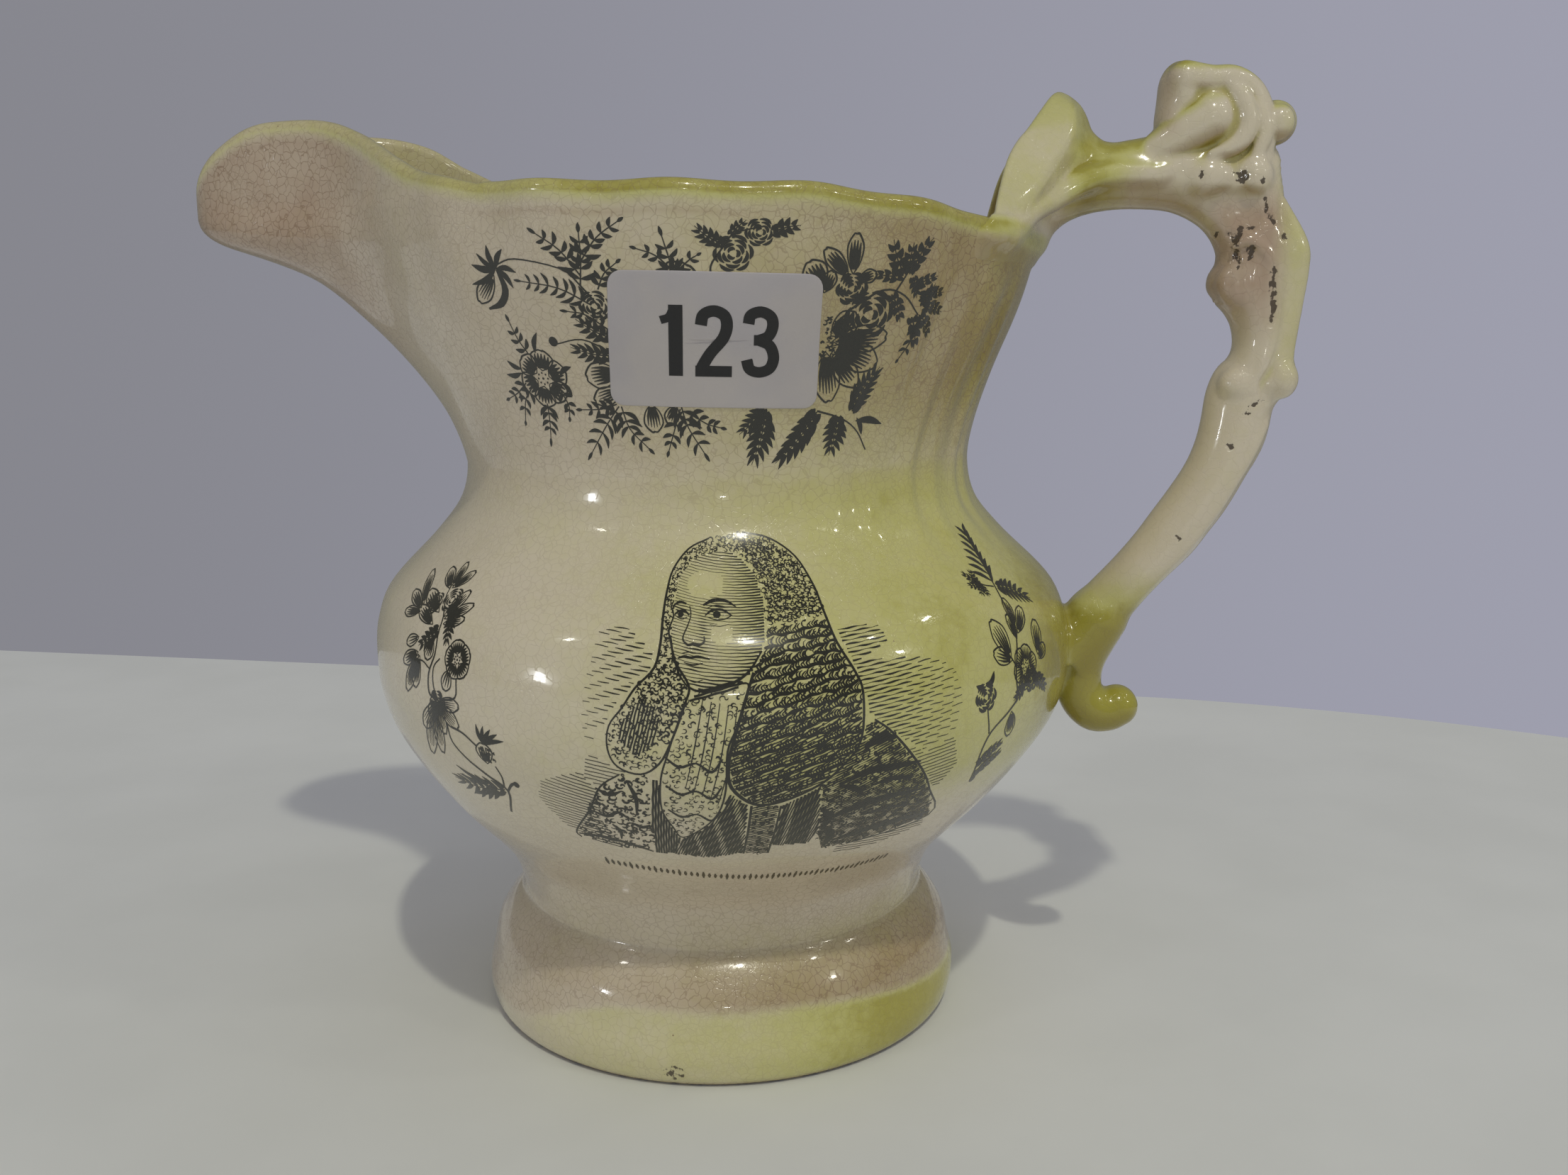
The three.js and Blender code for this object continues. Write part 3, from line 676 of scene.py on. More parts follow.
def draw_skin(field, corner, step):
    """Points and quads of the surface where the field is zero."""
    inside = field < 0
    block = [inside[i:i - 1 or None, j:j - 1 or None, k:k - 1 or None]
             for i in (0, 1) for j in (0, 1) for k in (0, 1)]
    count = np.sum(block, axis=0)
    active = (count > 0) & (count < 8)
    cells = np.argwhere(active)
    number = np.full(active.shape, -1, int)
    number[active] = np.arange(len(cells))
    corners = np.array([(i, j, k) for i in (0, 1) for j in (0, 1) for k in (0, 1)])
    values = np.stack([field[tuple((cells + c).T)] for c in corners], -1)
    total, hits = np.zeros((len(cells), 3)), np.zeros(len(cells))
    for a in range(8):
        for b in range(a + 1, 8):
            if np.abs(corners[a] - corners[b]).sum() != 1:
                continue
            crossed = (values[:, a] < 0) != (values[:, b] < 0)
            t = np.where(crossed, values[:, a] / np.where(crossed, values[:, a] - values[:, b], 1), 0)
            total += np.where(crossed[:, None], corners[a] + t[:, None] * (corners[b] - corners[a]), 0)
            hits += crossed
    places = (cells + total / hits[:, None]) * step + corner
    quads = []
    for axis in range(3):
        others = [a for a in range(3) if a != axis]
        here = [slice(1, -1)] * 3
        here[axis] = slice(0, -1)
        there = list(here)
        there[axis] = slice(1, None)
        one, two = inside[tuple(here)], inside[tuple(there)]
        edges = np.argwhere(one != two)
        starts = one[tuple(edges.T)]
        base = edges + np.array([0 if a == axis else 1 for a in range(3)])
        steps = []
        for p, q in ((-1, -1), (0, -1), (0, 0), (-1, 0)):
            move = np.zeros(3, int)
            move[others[0]], move[others[1]] = p, q
            steps.append(number[tuple((base + move).T)])
        face = np.stack(steps, -1)
        flip = starts if axis != 1 else ~starts
        quads.append(np.where(flip[:, None], face, face[:, ::-1]))
    return places, np.concatenate(quads)


ball = np.linalg.norm(np.mgrid[-3:4, -3:4, -3:4], axis=0) - 2.0
print("a ball of radius 2 takes", len(draw_skin(ball, np.zeros(3), 1.0)[1]), "quads")

# %% Read the field between its points


def sample(field, places, corner, step):
    """Field value at any place, between the grid's points."""
    at = (places - corner) / step
    low = np.clip(np.floor(at).astype(int), 0, np.array(field.shape) - 2)
    t = at - low
    value = 0
    for i in (0, 1):
        for j in (0, 1):
            for k in (0, 1):
                weight = np.abs(1 - i - t[:, 0]) * np.abs(1 - j - t[:, 1]) * np.abs(1 - k - t[:, 2])
                value = value + weight * field[low[:, 0] + i, low[:, 1] + j, low[:, 2] + k]
    return value


def downhill(field, places, corner, step):
    """How fast the field rises at any place, along x, y and z."""
    return np.stack([
        sample(field, places + d, corner, step) - sample(field, places - d, corner, step)
        for d in np.eye(3) * step * 0.7
    ], -1) / (2 * step * 0.7)


edge_of_ball = np.array([[5.0, 3.0, 3.0]])
print("slope at that ball's edge", downhill(ball, edge_of_ball, np.zeros(3), 1.0).round(2))

# %% Even out the handle's skin


def even_out(field, places, quads, corner, step, rounds=4):
    """Slide the points towards their neighbours, and back onto the surface."""
    ends = np.concatenate([quads[:, [0, 1]], quads[:, [1, 2]], quads[:, [2, 3]], quads[:, [3, 0]]])
    both = np.concatenate([ends, ends[:, ::-1]])
    share = np.bincount(both[:, 0], minlength=len(places))
    for _ in range(rounds):
        near = np.stack([np.bincount(both[:, 0], weights=places[both[:, 1], k], minlength=len(places))
                         for k in range(3)], -1) / share[:, None]
        places = lerp(places, near, 0.5)
        slope = downhill(field, places, corner, step)
        steep = np.maximum((slope**2).sum(-1, keepdims=True), 0.04)
        places = places - slope * np.clip(sample(field, places, corner, step), -0.5, 0.5)[:, None] / steep
    return places


# Air on the field's outer sides closes the skin.
for side_of_field in (clay[0], clay[-1], clay[:, 0], clay[:, :, 0], clay[:, :, -1]):
    side_of_field[...] = 1
whole = np.concatenate([clay, clay[:, -2::-1]], axis=1)
points, quads = draw_skin(whole, field_low, cell)
points = even_out(whole, points, quads, field_low, cell)
handle = mesh_object("glazed_handle", points, quads)
print("handle", len(points), "points,", len(quads), "faces")

# %% [markdown]
# Glaze is glass: it runs thin over edges and pools in hollows, and there it shows its own yellow green.
# How thick it lies at each place is a number from 0 to 1, kept as an attribute on the mesh, so one
# material can serve the whole jug. A second number says how much tea-brown stain has crept in.
# Both numbers also carry painted shade: the belly's shadow on the upper foot, the dimmer neck, and the
# handle's undersides.

# %% Where the glaze pools, where it is stained, and where shade is painted


def paint(piece, name, values):
    """Keep one number per vertex under a name that a material can read."""
    layer = piece.data.attributes.new(name, "FLOAT", "POINT")
    layer.data.foreach_set("value", np.asarray(values, np.float32).ravel())


def highest(*layers):
    """At each place, the highest of several layers."""
    return np.maximum.reduce(layers)


around = np.broadcast_to(columns, (rows, count))
height = skin[..., 2]
spread = skin[..., 0]
ring_number = np.broadcast_to(np.arange(rows)[:, None], (rows, count))
first_outside = len(foot_rings)
first_lip = first_outside + len(low_rings) + len(neck_rings)
outside = (ring_number >= first_outside) & (ring_number < first_lip)
below_rim = rim_height(around) - height


def pool_line(around):
    """Height on the foot up to which the glaze has run together."""
    return 16.2 - 10 * (1 - ease(38, 78, abs(around))) - 5.2 * ease(112, 170, abs(around))


def glaze_depth_and_shade(spread, height, around):
    """0 where the glaze lies thin, 1 where it is a deep yellow-green pool, on the outside of the jug; the
    neck's dimmer right side is also deepened as painted shade.
    """
    to_right = ease(-42, 45, spread)
    to_lip = rim_height(around) - height
    near_handle = 1 - ease(16, 62, 180 - abs(around))
    above_pool = height - pool_line(around)
    run_together = 0.1 + 0.36 * ease(-52, -10, spread) + 0.52 * ease(5, 46, spread)
    return highest(
        (0.12 + 0.6 * to_right) * ease(48, 80, height) * (1 - ease(118, 138, height)),
        # painted shade: the neck is deepened towards its dimmer right side
        (0.1 + 0.4 * to_right) * ease(112, 130, height),
        0.95 * near_handle * ease(48, 72, height) * (1 - ease(98, 124, height)),
        0.8 * near_handle * ease(118, 142, height),
        (0.1 + 0.3 * to_right) * (1 - ease(26, 40, height)),
        run_together * (1 - ease(-1.4, 1.4, above_pool)),
        (0.5 + 0.42 * ease(-45, 45, spread)) * (1 - ease(0.8, 3.2, to_lip)),
    )


def stain_and_shade_share(spread, height, around):
    """How much tea-brown stain has crept into the glaze on the outside of the jug, with painted shade added:
    the belly's shadow on the foot and the dimmer neck.
    """
    to_right = ease(-20, 60, spread)
    above_pool = height - pool_line(around)
    above = ease(-1.4, 1.4, above_pool)
    stain_and_shade_amount = highest(
        # painted shadow: the belly's shadow on the upper foot and the waist, over a real tea-brown stain
        (0.42 + 0.5 * ease(-30, 50, spread)) * above * (1 - ease(17, 36, height)),
        (0.22 + 0.2 * to_right) * above * (1 - ease(40, 66, height)),
        # painted shade mixed with stain: the spout's side of the neck, the whole neck, and its dimmer right
        # side
        0.88 * ease(38, 86, -spread) * ease(112, 142, height),
        0.28 * ease(112, 132, height),
        to_right * ease(112, 150, height),
        0.28 * ease(60, 76, spread) * ease(46, 60, height),
        # darker along the bottom edge of the foot
        1 - ease(0.4, 1.6, height),
    )
    return stain_and_shade_amount * ease(0.6, 3.4, rim_height(around) - height)


print("glaze on the foot has pooled up to", round(float(pool_line(0.0)), 1), "to", pool_line(90.0), "mm")

# %% Paint the jug
pool_and_shade = glaze_depth_and_shade(spread, height, around)
lip_pool = lerp(0.45, 0.9, ease(-90, 10, spread))
pool_and_shade = np.where(outside, pool_and_shade, np.where(ring_number < first_outside, 0.1, lip_pool))
stain_and_shade = stain_and_shade_share(spread, height, around)
stain_and_shade = np.maximum(stain_and_shade, 0.6 * np.exp(-((below_rim - 3.6) / 0.8) ** 2) * ease(-55, -20, spread))
stain_and_shade = np.where(outside, stain_and_shade, 0.3)
paint(jug, "pool_and_shade", pool_and_shade)
# A chip on the foot, and the foot's lowest millimetre painted dark.
chip_and_dark_bottom_edge = np.exp(-(((around - 87.6) / 1.7) ** 2) - ((height - 3.4) / 1.3) ** 2)
chip_and_dark_bottom_edge = np.maximum(chip_and_dark_bottom_edge, 0.6 * (1 - ease(0.25, 0.9, height)) * (height > 0.02))
worn = np.where(outside, chip_and_dark_bottom_edge, 0)
paint(jug, "stain_and_shade", stain_and_shade)
paint(jug, "worn", worn)
print("mean glaze depth", round(float(pool_and_shade.mean()), 3))

# %% [markdown]
# The handle needs the same two numbers. Its hollows are found with the clay field itself: a blurred field
# is below zero on the skin where clay stands on both sides, and above zero on an edge or a knob.
# A third number marks the places where handling has knocked the glaze off, down to brown clay.

# %% Glaze on the handle
blurred = whole.copy()
for axis in range(3):
    for _ in range(3):
        blurred = (np.roll(blurred, 2, axis) + blurred + np.roll(blurred, -2, axis)) / 3
hollow = -sample(blurred, points, field_low, cell)
blunt = ease(-0.05, 0.45, hollow)
slope = downhill(whole, points, field_low, cell)
upward = slope[:, 2] / np.maximum(np.linalg.norm(slope, axis=1), 1e-6)
right, deep_in, up = points.T
on_jug_angle = 180 - np.degrees(np.arctan2(np.abs(deep_in), right - belly_lean(up)))
wall_here = wall_distance(right, deep_in, np.minimum(up, 173))[0]
on_jug = (1 - ease(0.3, 3.5, wall_here)) * (1 - ease(0.5, 3, up - rim_height(on_jug_angle)))
low_part = 1 - ease(82, 106, up)
arm_top = ease(0.2, 0.8, upward) * ease(70, 76, right) * (1 - ease(96, 104, right))
# Painted shade: faces that look down under the arm, near the top, are darkened with stain and a little
# pooling.
painted_shade_under_arm = (1 - ease(-0.75, -0.1, upward)) * ease(165, 170, up)
pool_and_shade = highest(
    0.12 + 0.55 * blunt + 0.85 * arm_top * ease(170, 176, up) + 0.25 * painted_shade_under_arm,
    1.3 * low_part,
    0.75 * ease(0.3, 0.9, upward) * ease(184, 192, up),
    0.48 * ease(112, 121, right) * ease(134, 146, up),
    0.9 * ease(166, 174, up) * ease(68, 78, right) * (1 - ease(78, 94, right)),
    0.45 * ease(168, 176, up) * (1 - ease(82, 92, right)),
)
stain_and_shade = highest(
    ease(96, 106, right) * ease(144, 160, up) * (1 - ease(172, 183, up)) * (1 - ease(114, 121, right)),
    0.08 * ease(96, 104, up) * (1 - ease(150, 160, up)),
    0.55 * blunt * ease(176, 184, up),
    0.95 * painted_shade_under_arm,
    # painted shade: faces that look down on the lower stem and tail get stain
    0.5 * low_part * (1 - ease(-0.3, 0.4, upward)),
    # painted shade: the left side of the crest's knob, which faces left and down
    0.55 * (1 - ease(93, 97, right)) * ease(88, 91, right) * ease(188, 192, up),
)
pool_and_shade = lerp(pool_and_shade, glaze_depth_and_shade(right, up, on_jug_angle), on_jug)
stain_and_shade = lerp(stain_and_shade, stain_and_shade_share(right, up, on_jug_angle), on_jug)
print("hollow share", round(float(blunt.mean()), 3), "mean glaze depth", round(float(pool_and_shade.mean()), 3))

# %% [markdown]
# The losses are few and ragged. Each is a short trail on the near side with a radius, drawn where the
# photograph shows bare clay, and the skin sinks a little there, as it does where glaze has gone.

# %% Worn places on the handle
loss_depth = 0.28
losses = [
    ([(107.4, 182.1), (109.6, 181.6), (108.6, 180.0), (107.9, 180.8)], 0.42),
    ([(100.1, 181.7), (100.4, 181.5)], 0.42), ([(112.2, 180.5), (112.4, 180.3)], 0.38),
    ([(113.7, 177.3), (113.9, 175.3), (114.6, 173.5), (115.6, 172.4)], 0.22),
    ([(117.8, 169.6), (117.9, 169.3)], 0.42),
    ([(106.8, 170), (108.9, 170), (107.9, 168.6), (108.5, 166.5), (109.3, 163.7)], 0.34),
    ([(110.2, 166.9), (111.7, 167.2), (111, 165.1)], 0.3), ([(108.8, 171.2), (111.5, 171.1)], 0.2),
    ([(104.7, 170.2), (104.9, 170.2)], 0.36),
    ([(116.2, 163.9), (116, 160.1), (116.5, 155.8), (116.2, 152.2)], 0.34),
    ([(113.2, 135), (114.6, 135.7), (115.9, 136.2)], 0.2), ([(112.4, 133.6), (112.7, 133.6)], 0.3),
    ([(109.4, 126.8), (109.7, 126.6)], 0.36), ([(99.7, 107.3), (99.9, 107.2)], 0.36),
]
worn = np.zeros(len(points))
for trail, radius in losses:
    for (x0, z0), (x1, z1) in zip(trail[:-1], trail[1:]):
        run_x, run_z = x1 - x0, z1 - z0
        along = np.clip(((right - x0) * run_x + (up - z0) * run_z) / (run_x**2 + run_z**2), 0, 1)
        gap = np.hypot(right - x0 - along * run_x, up - z0 - along * run_z)
        worn = np.maximum(worn, (1 - ease(radius - 0.3, radius + 0.5, gap)) * (deep_in < -1.5))
outward = slope / np.maximum(np.linalg.norm(slope, axis=1, keepdims=True), 1e-6)
places = np.array([vertex.co for vertex in handle.data.vertices])
places = places - outward * (worn * loss_depth * MM)[:, None]
handle.data.vertices.foreach_set("co", places.ravel())
paint(handle, "pool_and_shade", pool_and_shade)
paint(handle, "stain_and_shade", stain_and_shade)
paint(handle, "worn", worn)
print("worn points", int((worn > 0.5).sum()))

# %% [markdown]
# A finish is a tree of shader nodes. Built by hand in the editor it can't be read or repeated, so a few
# helpers write it as lines: one makes a node, applies its settings and fills its inputs with values or
# links, the others make the sums, mixes and smooth steps that come up again and again.

# %% Node helper


def fill(tree, new, inputs):
    """Link or set each named input of a node."""
    for name, value in inputs.items():
        if isinstance(value, bpy.types.NodeSocket):
            tree.links.new(value, new.inputs[name])
        else:
            new.inputs[name].default_value = value


def node(tree, kind, inputs=None, **settings):
    """A new node with its settings and inputs."""
    new = tree.nodes.new("ShaderNode" + kind)
    for name, value in settings.items():
        setattr(new, name, value)
    fill(tree, new, inputs or {})
    return new


def sums(tree, operation, a, b=0.0, c=0.0, clamp=False):
    """A Math node on two or three numbers or sockets."""
    return node(tree, "Math", {0: a, 1: b, 2: c}, operation=operation, use_clamp=clamp).outputs[0]


def mixed(tree, share, a, b, blend="MIX"):
    """A colour mix of a and b."""
    return node(tree, "Mix", {0: share, 6: a, 7: b}, data_type="RGBA", blend_type=blend).outputs[2]


def step_up(tree, value, low, high):
    """0 below low, 1 above high, smooth between."""
    settings = {"Value": value, "From Min": low, "From Max": high}
    return node(tree, "MapRange", settings, interpolation_type="SMOOTHSTEP").outputs[0]


def group(name, takes, gives):
    """An empty shader group with named inputs and outputs."""
    tree = bpy.data.node_groups.new(name, "ShaderNodeTree")
    for label, kind, value in takes:
        socket = tree.interface.new_socket(label, in_out="INPUT", socket_type="NodeSocket" + kind)
        if value is not None:
            socket.default_value = value
    for label, kind in gives:
        tree.interface.new_socket(label, in_out="OUTPUT", socket_type="NodeSocket" + kind)
    return tree, tree.nodes.new("NodeGroupInput").outputs, tree.nodes.new("NodeGroupOutput").inputs


def place_group(tree, made, inputs):
    """Place a finished group in a tree, and give its outputs."""
    new = node(tree, "Group", node_tree=made)
    fill(tree, new, inputs)
    return new.outputs


print("node helpers ready")

# %% [markdown]
# Crazing is the net of fine cracks that an old glaze gets as it shrinks more than the clay under it.
# Cracks part the surface into cells, so a Voronoi pattern's distance to the nearest cell edge draws them.
# A little noise bends them, and a second, finer net breaks up the first, as on the real jug.

# %% Crazing group
craze_net, takes, gives = group(
    "crazing",
    [("Place", "Vector", None), ("Cell", "Float", 4.0), ("Line", "Float", 0.1)],
    [("Cracks", "Float")],
)
bend = node(craze_net, "TexNoise", {"Vector": takes["Place"], "Scale": 0.35, "Detail": 2.0})
shift = node(craze_net, "VectorMath", {0: bend.outputs["Color"], 1: (0.5, 0.5, 0.5)}, operation="SUBTRACT")
bent = node(craze_net, "VectorMath", {0: shift.outputs[0], 1: (2.2, 2.2, 2.2), 2: takes["Place"]},
            operation="MULTIPLY_ADD")


def crack_lines(cell, line):
    """1 on a crack and 0 off it, for a cell size and a line width in millimetres."""
    scale = sums(craze_net, "DIVIDE", 1.0, cell)
    cells = node(craze_net, "TexVoronoi", {"Vector": bent.outputs[0], "Scale": scale, "Randomness": 0.9},
                 feature="DISTANCE_TO_EDGE")
    width = sums(craze_net, "DIVIDE", line, cell)
    edge = sums(craze_net, "DIVIDE", cells.outputs["Distance"], width)
    return sums(craze_net, "SUBTRACT", 1.0, step_up(craze_net, edge, 0.2, 1.0))


coarse = crack_lines(takes["Cell"], takes["Line"])
fine_cell = sums(craze_net, "MULTIPLY", takes["Cell"], 0.42)
fine = crack_lines(fine_cell, sums(craze_net, "MULTIPLY", takes["Line"], 0.7))
patches = node(craze_net, "TexNoise", {"Vector": takes["Place"], "Scale": 0.06, "Detail": 1.0})
where_fine = step_up(craze_net, patches.outputs[0], 0.42, 0.62)
fine = sums(craze_net, "MULTIPLY", fine, sums(craze_net, "MULTIPLY", where_fine, 0.6))
craze_net.links.new(sums(craze_net, "MAXIMUM", coarse, fine), gives["Cracks"])
print("crazing group", len(craze_net.nodes), "nodes")

# %% [markdown]
# The glaze group turns the two painted numbers into a colour: pinkish cream where the glaze is thin,
# yellow green where it pools, tea brown where it is stained or shade is painted, and brown again along the
# cracks.
# It also gives a roughness and a height, because an old glaze is slightly wavy and worn.

# %% Glaze group
glaze, takes, gives = group(
    "aged glaze",
    [("Place", "Vector", None), ("Pool and shade", "Float", 0.3), ("Stain and shade", "Float", 0.2), ("Worn", "Float", 0.0),
     ("Crazed", "Float", 0.6), ("Cell", "Float", 2.5)],
    [("Color", "Color"), ("Roughness", "Float"), ("Height", "Float")],
)
thin_cream = (0.76, 0.68, 0.51, 1)
pooled_green = (0.62, 0.60, 0.20, 1)
deep_green = (0.42, 0.38, 0.05, 1)
stain_and_shade_tint = (0.66, 0.55, 0.53, 1)
bare_clay = (0.055, 0.035, 0.022, 1)
crack_brown = (0.24, 0.15, 0.08, 1)
cloud = node(glaze, "TexNoise", {"Vector": takes["Place"], "Scale": 0.045, "Detail": 4.0, "Roughness": 0.6})
mottle = node(glaze, "TexNoise", {"Vector": takes["Place"], "Scale": 0.45, "Detail": 3.0})
drift = sums(glaze, "MULTIPLY_ADD", cloud.outputs[0], 0.5, -0.25)
depth = sums(glaze, "ADD", takes["Pool and shade"], drift)
depth = sums(glaze, "MULTIPLY_ADD", sums(glaze, "SUBTRACT", mottle.outputs[0], 0.5), 0.25, depth, clamp=True)
tone = mixed(glaze, step_up(glaze, depth, 0.0, 0.85), thin_cream, pooled_green)
tone = mixed(glaze, step_up(glaze, depth, 0.7, 1.05), tone, deep_green)
patchy = sums(glaze, "MULTIPLY_ADD", step_up(glaze, cloud.outputs[0], 0.3, 0.6), 0.45, 0.7)
stain_and_shade_amount = sums(glaze, "MULTIPLY", takes["Stain and shade"], patchy, clamp=True)
tone = mixed(glaze, stain_and_shade_amount, tone, mixed(glaze, 1.0, tone, stain_and_shade_tint, "MULTIPLY"))
crack_width = 0.11
net = place_group(glaze, craze_net, {"Place": takes["Place"], "Cell": takes["Cell"], "Line": crack_width})
cracks = net["Cracks"]
ink_in = sums(glaze, "MULTIPLY_ADD", takes["Stain and shade"], 0.6, 0.16)
crack_share = sums(glaze, "MULTIPLY", sums(glaze, "MULTIPLY", cracks, ink_in), takes["Crazed"], clamp=True)
tone = mixed(glaze, crack_share, tone, crack_brown)
specks = node(glaze, "TexVoronoi", {"Vector": takes["Place"], "Scale": 0.11, "Randomness": 1.0})
speck = sums(glaze, "SUBTRACT", 1.0, step_up(glaze, specks.outputs["Distance"], 0.012, 0.026))
tone = mixed(glaze, sums(glaze, "MULTIPLY", speck, 0.75), tone, crack_brown)
chips = node(glaze, "TexNoise", {"Vector": takes["Place"], "Scale": 0.9, "Detail": 3.0})
ragged = sums(glaze, "MULTIPLY_ADD", sums(glaze, "SUBTRACT", chips.outputs[0], 0.52), 3.4, takes["Worn"])
lost = step_up(glaze, sums(glaze, "MINIMUM", ragged, sums(glaze, "MULTIPLY", takes["Worn"], 4.0)), 0.38, 0.62)
tone = mixed(glaze, sums(glaze, "MULTIPLY", lost, 0.9), tone, bare_clay)
glaze.links.new(tone, gives["Color"])
wear = sums(glaze, "MULTIPLY_ADD", mottle.outputs[0], 0.10, 0.10)
wear = sums(glaze, "MULTIPLY_ADD", lost, 0.5, wear)
glaze.links.new(sums(glaze, "MULTIPLY_ADD", cracks, 0.12, wear), gives["Roughness"])
swell = node(glaze, "TexNoise", {"Vector": takes["Place"], "Scale": 0.09, "Detail": 1.0})
relief = sums(glaze, "MULTIPLY_ADD", cracks, -0.08, sums(glaze, "MULTIPLY", swell.outputs[0], 0.8))
glaze.links.new(sums(glaze, "MULTIPLY_ADD", mottle.outputs[0], 0.05, relief), gives["Height"])
print("glaze group", len(glaze.nodes), "nodes")

# %% [markdown]
# The material itself is short: it reads the painted numbers, hands them to the glaze group, and adds the
# gloss. A thin coat over the clay's own shine gives the sharp small lights that glass has. The handle
# uses the same glaze with fewer and larger cracks.

# %% Glaze material
millimetres = 1000.0


def place_in_mm(tree):
    """The surface's own place in millimetres, which stays with the piece when the camera moves."""
    here = node(tree, "TexCoord").outputs["Object"]
    return node(tree, "VectorMath", {0: here, "Scale": millimetres}, operation="SCALE").outputs[0]


def painted(tree, name):
    """A number that was painted on the mesh."""
    return node(tree, "Attribute", attribute_name=name).outputs["Fac"]


def new_material(name):
    """An empty material, its tree and the inputs of its shader."""
    material = bpy.data.materials.new(name)
    material.use_nodes = True
    tree = material.node_tree
    return material, tree, tree.nodes["Principled BSDF"].inputs


def feed(tree, sockets, links):
    """Link sources to named sockets."""
    for name, source in links.items():
        tree.links.new(source, sockets[name])


def bumped(tree, height, distance):
    """A normal from a height, with the height's size in metres."""
    return node(tree, "Bump", {"Height": height, "Distance": distance, "Strength": 1.0}).outputs[0]


def set_gloss(shader):
    """The shine of glass: its refraction, and a thin smooth coat."""
    for name, value in (("IOR", 1.5), ("Coat Weight", 0.6), ("Coat Roughness", 0.03), ("Coat IOR", 1.5)):
        shader[name].default_value = value


def glaze_material(name, crazed, cell_size):
    """The aged glaze with its own amount and size of crazing."""
    material, tree, shader = new_material(name)
    made = place_group(tree, glaze, {
        "Place": place_in_mm(tree), "Pool and shade": painted(tree, "pool_and_shade"), "Stain and shade": painted(tree, "stain_and_shade"),
        "Worn": painted(tree, "worn"), "Crazed": crazed, "Cell": cell_size,
    })
    feed(tree, shader, {"Base Color": made["Color"], "Roughness": made["Roughness"],
                        "Normal": bumped(tree, made["Height"], 0.00025)})
    set_gloss(shader)
    return material


jug.data.materials.append(glaze_material("jug_glaze", 0.8, 1.7))
handle.data.materials.append(glaze_material("handle_glaze", 0.22, 2.6))
print("materials", [material.name for material in bpy.data.materials])

# %% [markdown]
# The prints were engraved on copper, pulled on tissue and rubbed onto the clay, under the glaze.
# An engraver has no grey: each tone is a line that swells or thins. So a print here is a list of strokes.
# A stroke is a path on a flat sheet, in millimetres right and up, with a width at every point.
# The sheet is wrapped round the jug, and each stroke becomes a very thin closed ribbon of ink.

# %% Wrap a flat sheet round the jug


def sheet_at(angle, height, girth_radius=None):
    """A rule that takes millimetres on a sheet to an angle and a height on the jug.

    A print is squeezed where the jug is narrow, so it has one girth. Paper keeps its width, and has none.
    """
    heights = np.linspace(20, 178, 1600)
    radii = outer_reach(angle + 0 * heights, heights)
    length = np.concatenate([[0], np.cumsum(np.hypot(np.diff(heights), np.diff(radii)))])
    start = np.interp(height, heights, length)

    def place(right, up):
        level = np.interp(start + up, length, heights)
        girth = girth_radius or np.interp(level, heights, radii)
        return angle + np.degrees(right / girth), level

    return place


def laid_on_jug(place, right, up, lift):
    """Points of a sheet on the jug, lifted off the glaze by some millimetres."""
    angle, level = place(right, up)
    return hand_wobble(outer_point(angle, level)) + outer_normal(angle, level) * lift


def ribbons(name, strokes, place, lift=0.045, keel=-0.06):
    """One mesh of closed ribbons, three-sided in section, with two edges on top and a keel in the glaze."""
    sections, faces, first = [], [], 0
    for path in strokes:
        run = np.gradient(path[:, :2], axis=0)
        run = run / np.maximum(np.linalg.norm(run, axis=1, keepdims=True), 1e-9)
        side = np.column_stack([-run[:, 1], run[:, 0]]) * path[:, 2:] / 2
        sections.append(np.stack([path[:, :2] + side, path[:, :2] - side, path[:, :2]], 1))
        a = first + 3 * np.arange(len(path) - 1)
        for p, q in ((0, 1), (1, 2), (2, 0)):
            faces += np.stack([a + p, a + q, a + 3 + q, a + 3 + p], -1).tolist()
        end = first + 3 * (len(path) - 1)
        faces += [[first + 1, first, first + 2], [end, end + 1, end + 2]]
        first = end + 3
    flat = np.concatenate(sections)
    height_off = np.broadcast_to(np.array([lift, lift, keel]), flat.shape[:2])
    points = laid_on_jug(place, flat[..., 0].ravel(), flat[..., 1].ravel(), height_off.reshape(-1, 1))
    piece = mesh_object(name, points, faces, smooth=False)
    print(name, len(strokes), "strokes,", sum(len(face) - 2 for face in faces), "triangles")
    return piece


print("the belly's sheet starts at", [round(float(part), 1) for part in sheet_at(102.6, 88, belly[1])(0, 0)])

# %% [markdown]
# Every print is built from a few strokes of the hand: a smooth line, a patch of parallel lines that follow
# a tone, a patch of small curls, a toothed leaf, a fern sprig, and flowers. Chance is seeded, so each run
# gives the same print.

# %% Lines, patches, curls and dots
chance = np.random.default_rng(7)


def draw(sheet, points, widths, steps=4):
    """A smooth stroke. Its widths stand at even marks along it."""
    path = smooth_path(points, steps)
    marks = np.linspace(0, 1, len(path))
    sheet.append(np.column_stack([path, np.interp(marks, np.linspace(0, 1, len(widths)), widths)]))


def within(points, outline):
    """True where points lie inside a closed outline."""
    inside = np.zeros(points.shape[:-1], bool)
    for (x0, y0), (x1, y1) in zip(outline, outline[1:] + outline[:1]):
        if y0 == y1:
            continue
        spans_level = (points[..., 1] < max(y0, y1)) & (points[..., 1] >= min(y0, y1))
        edge_x = x0 + (points[..., 1] - y0) * (x1 - x0) / (y1 - y0)
        inside ^= spans_level & (points[..., 0] < edge_x)
    return inside


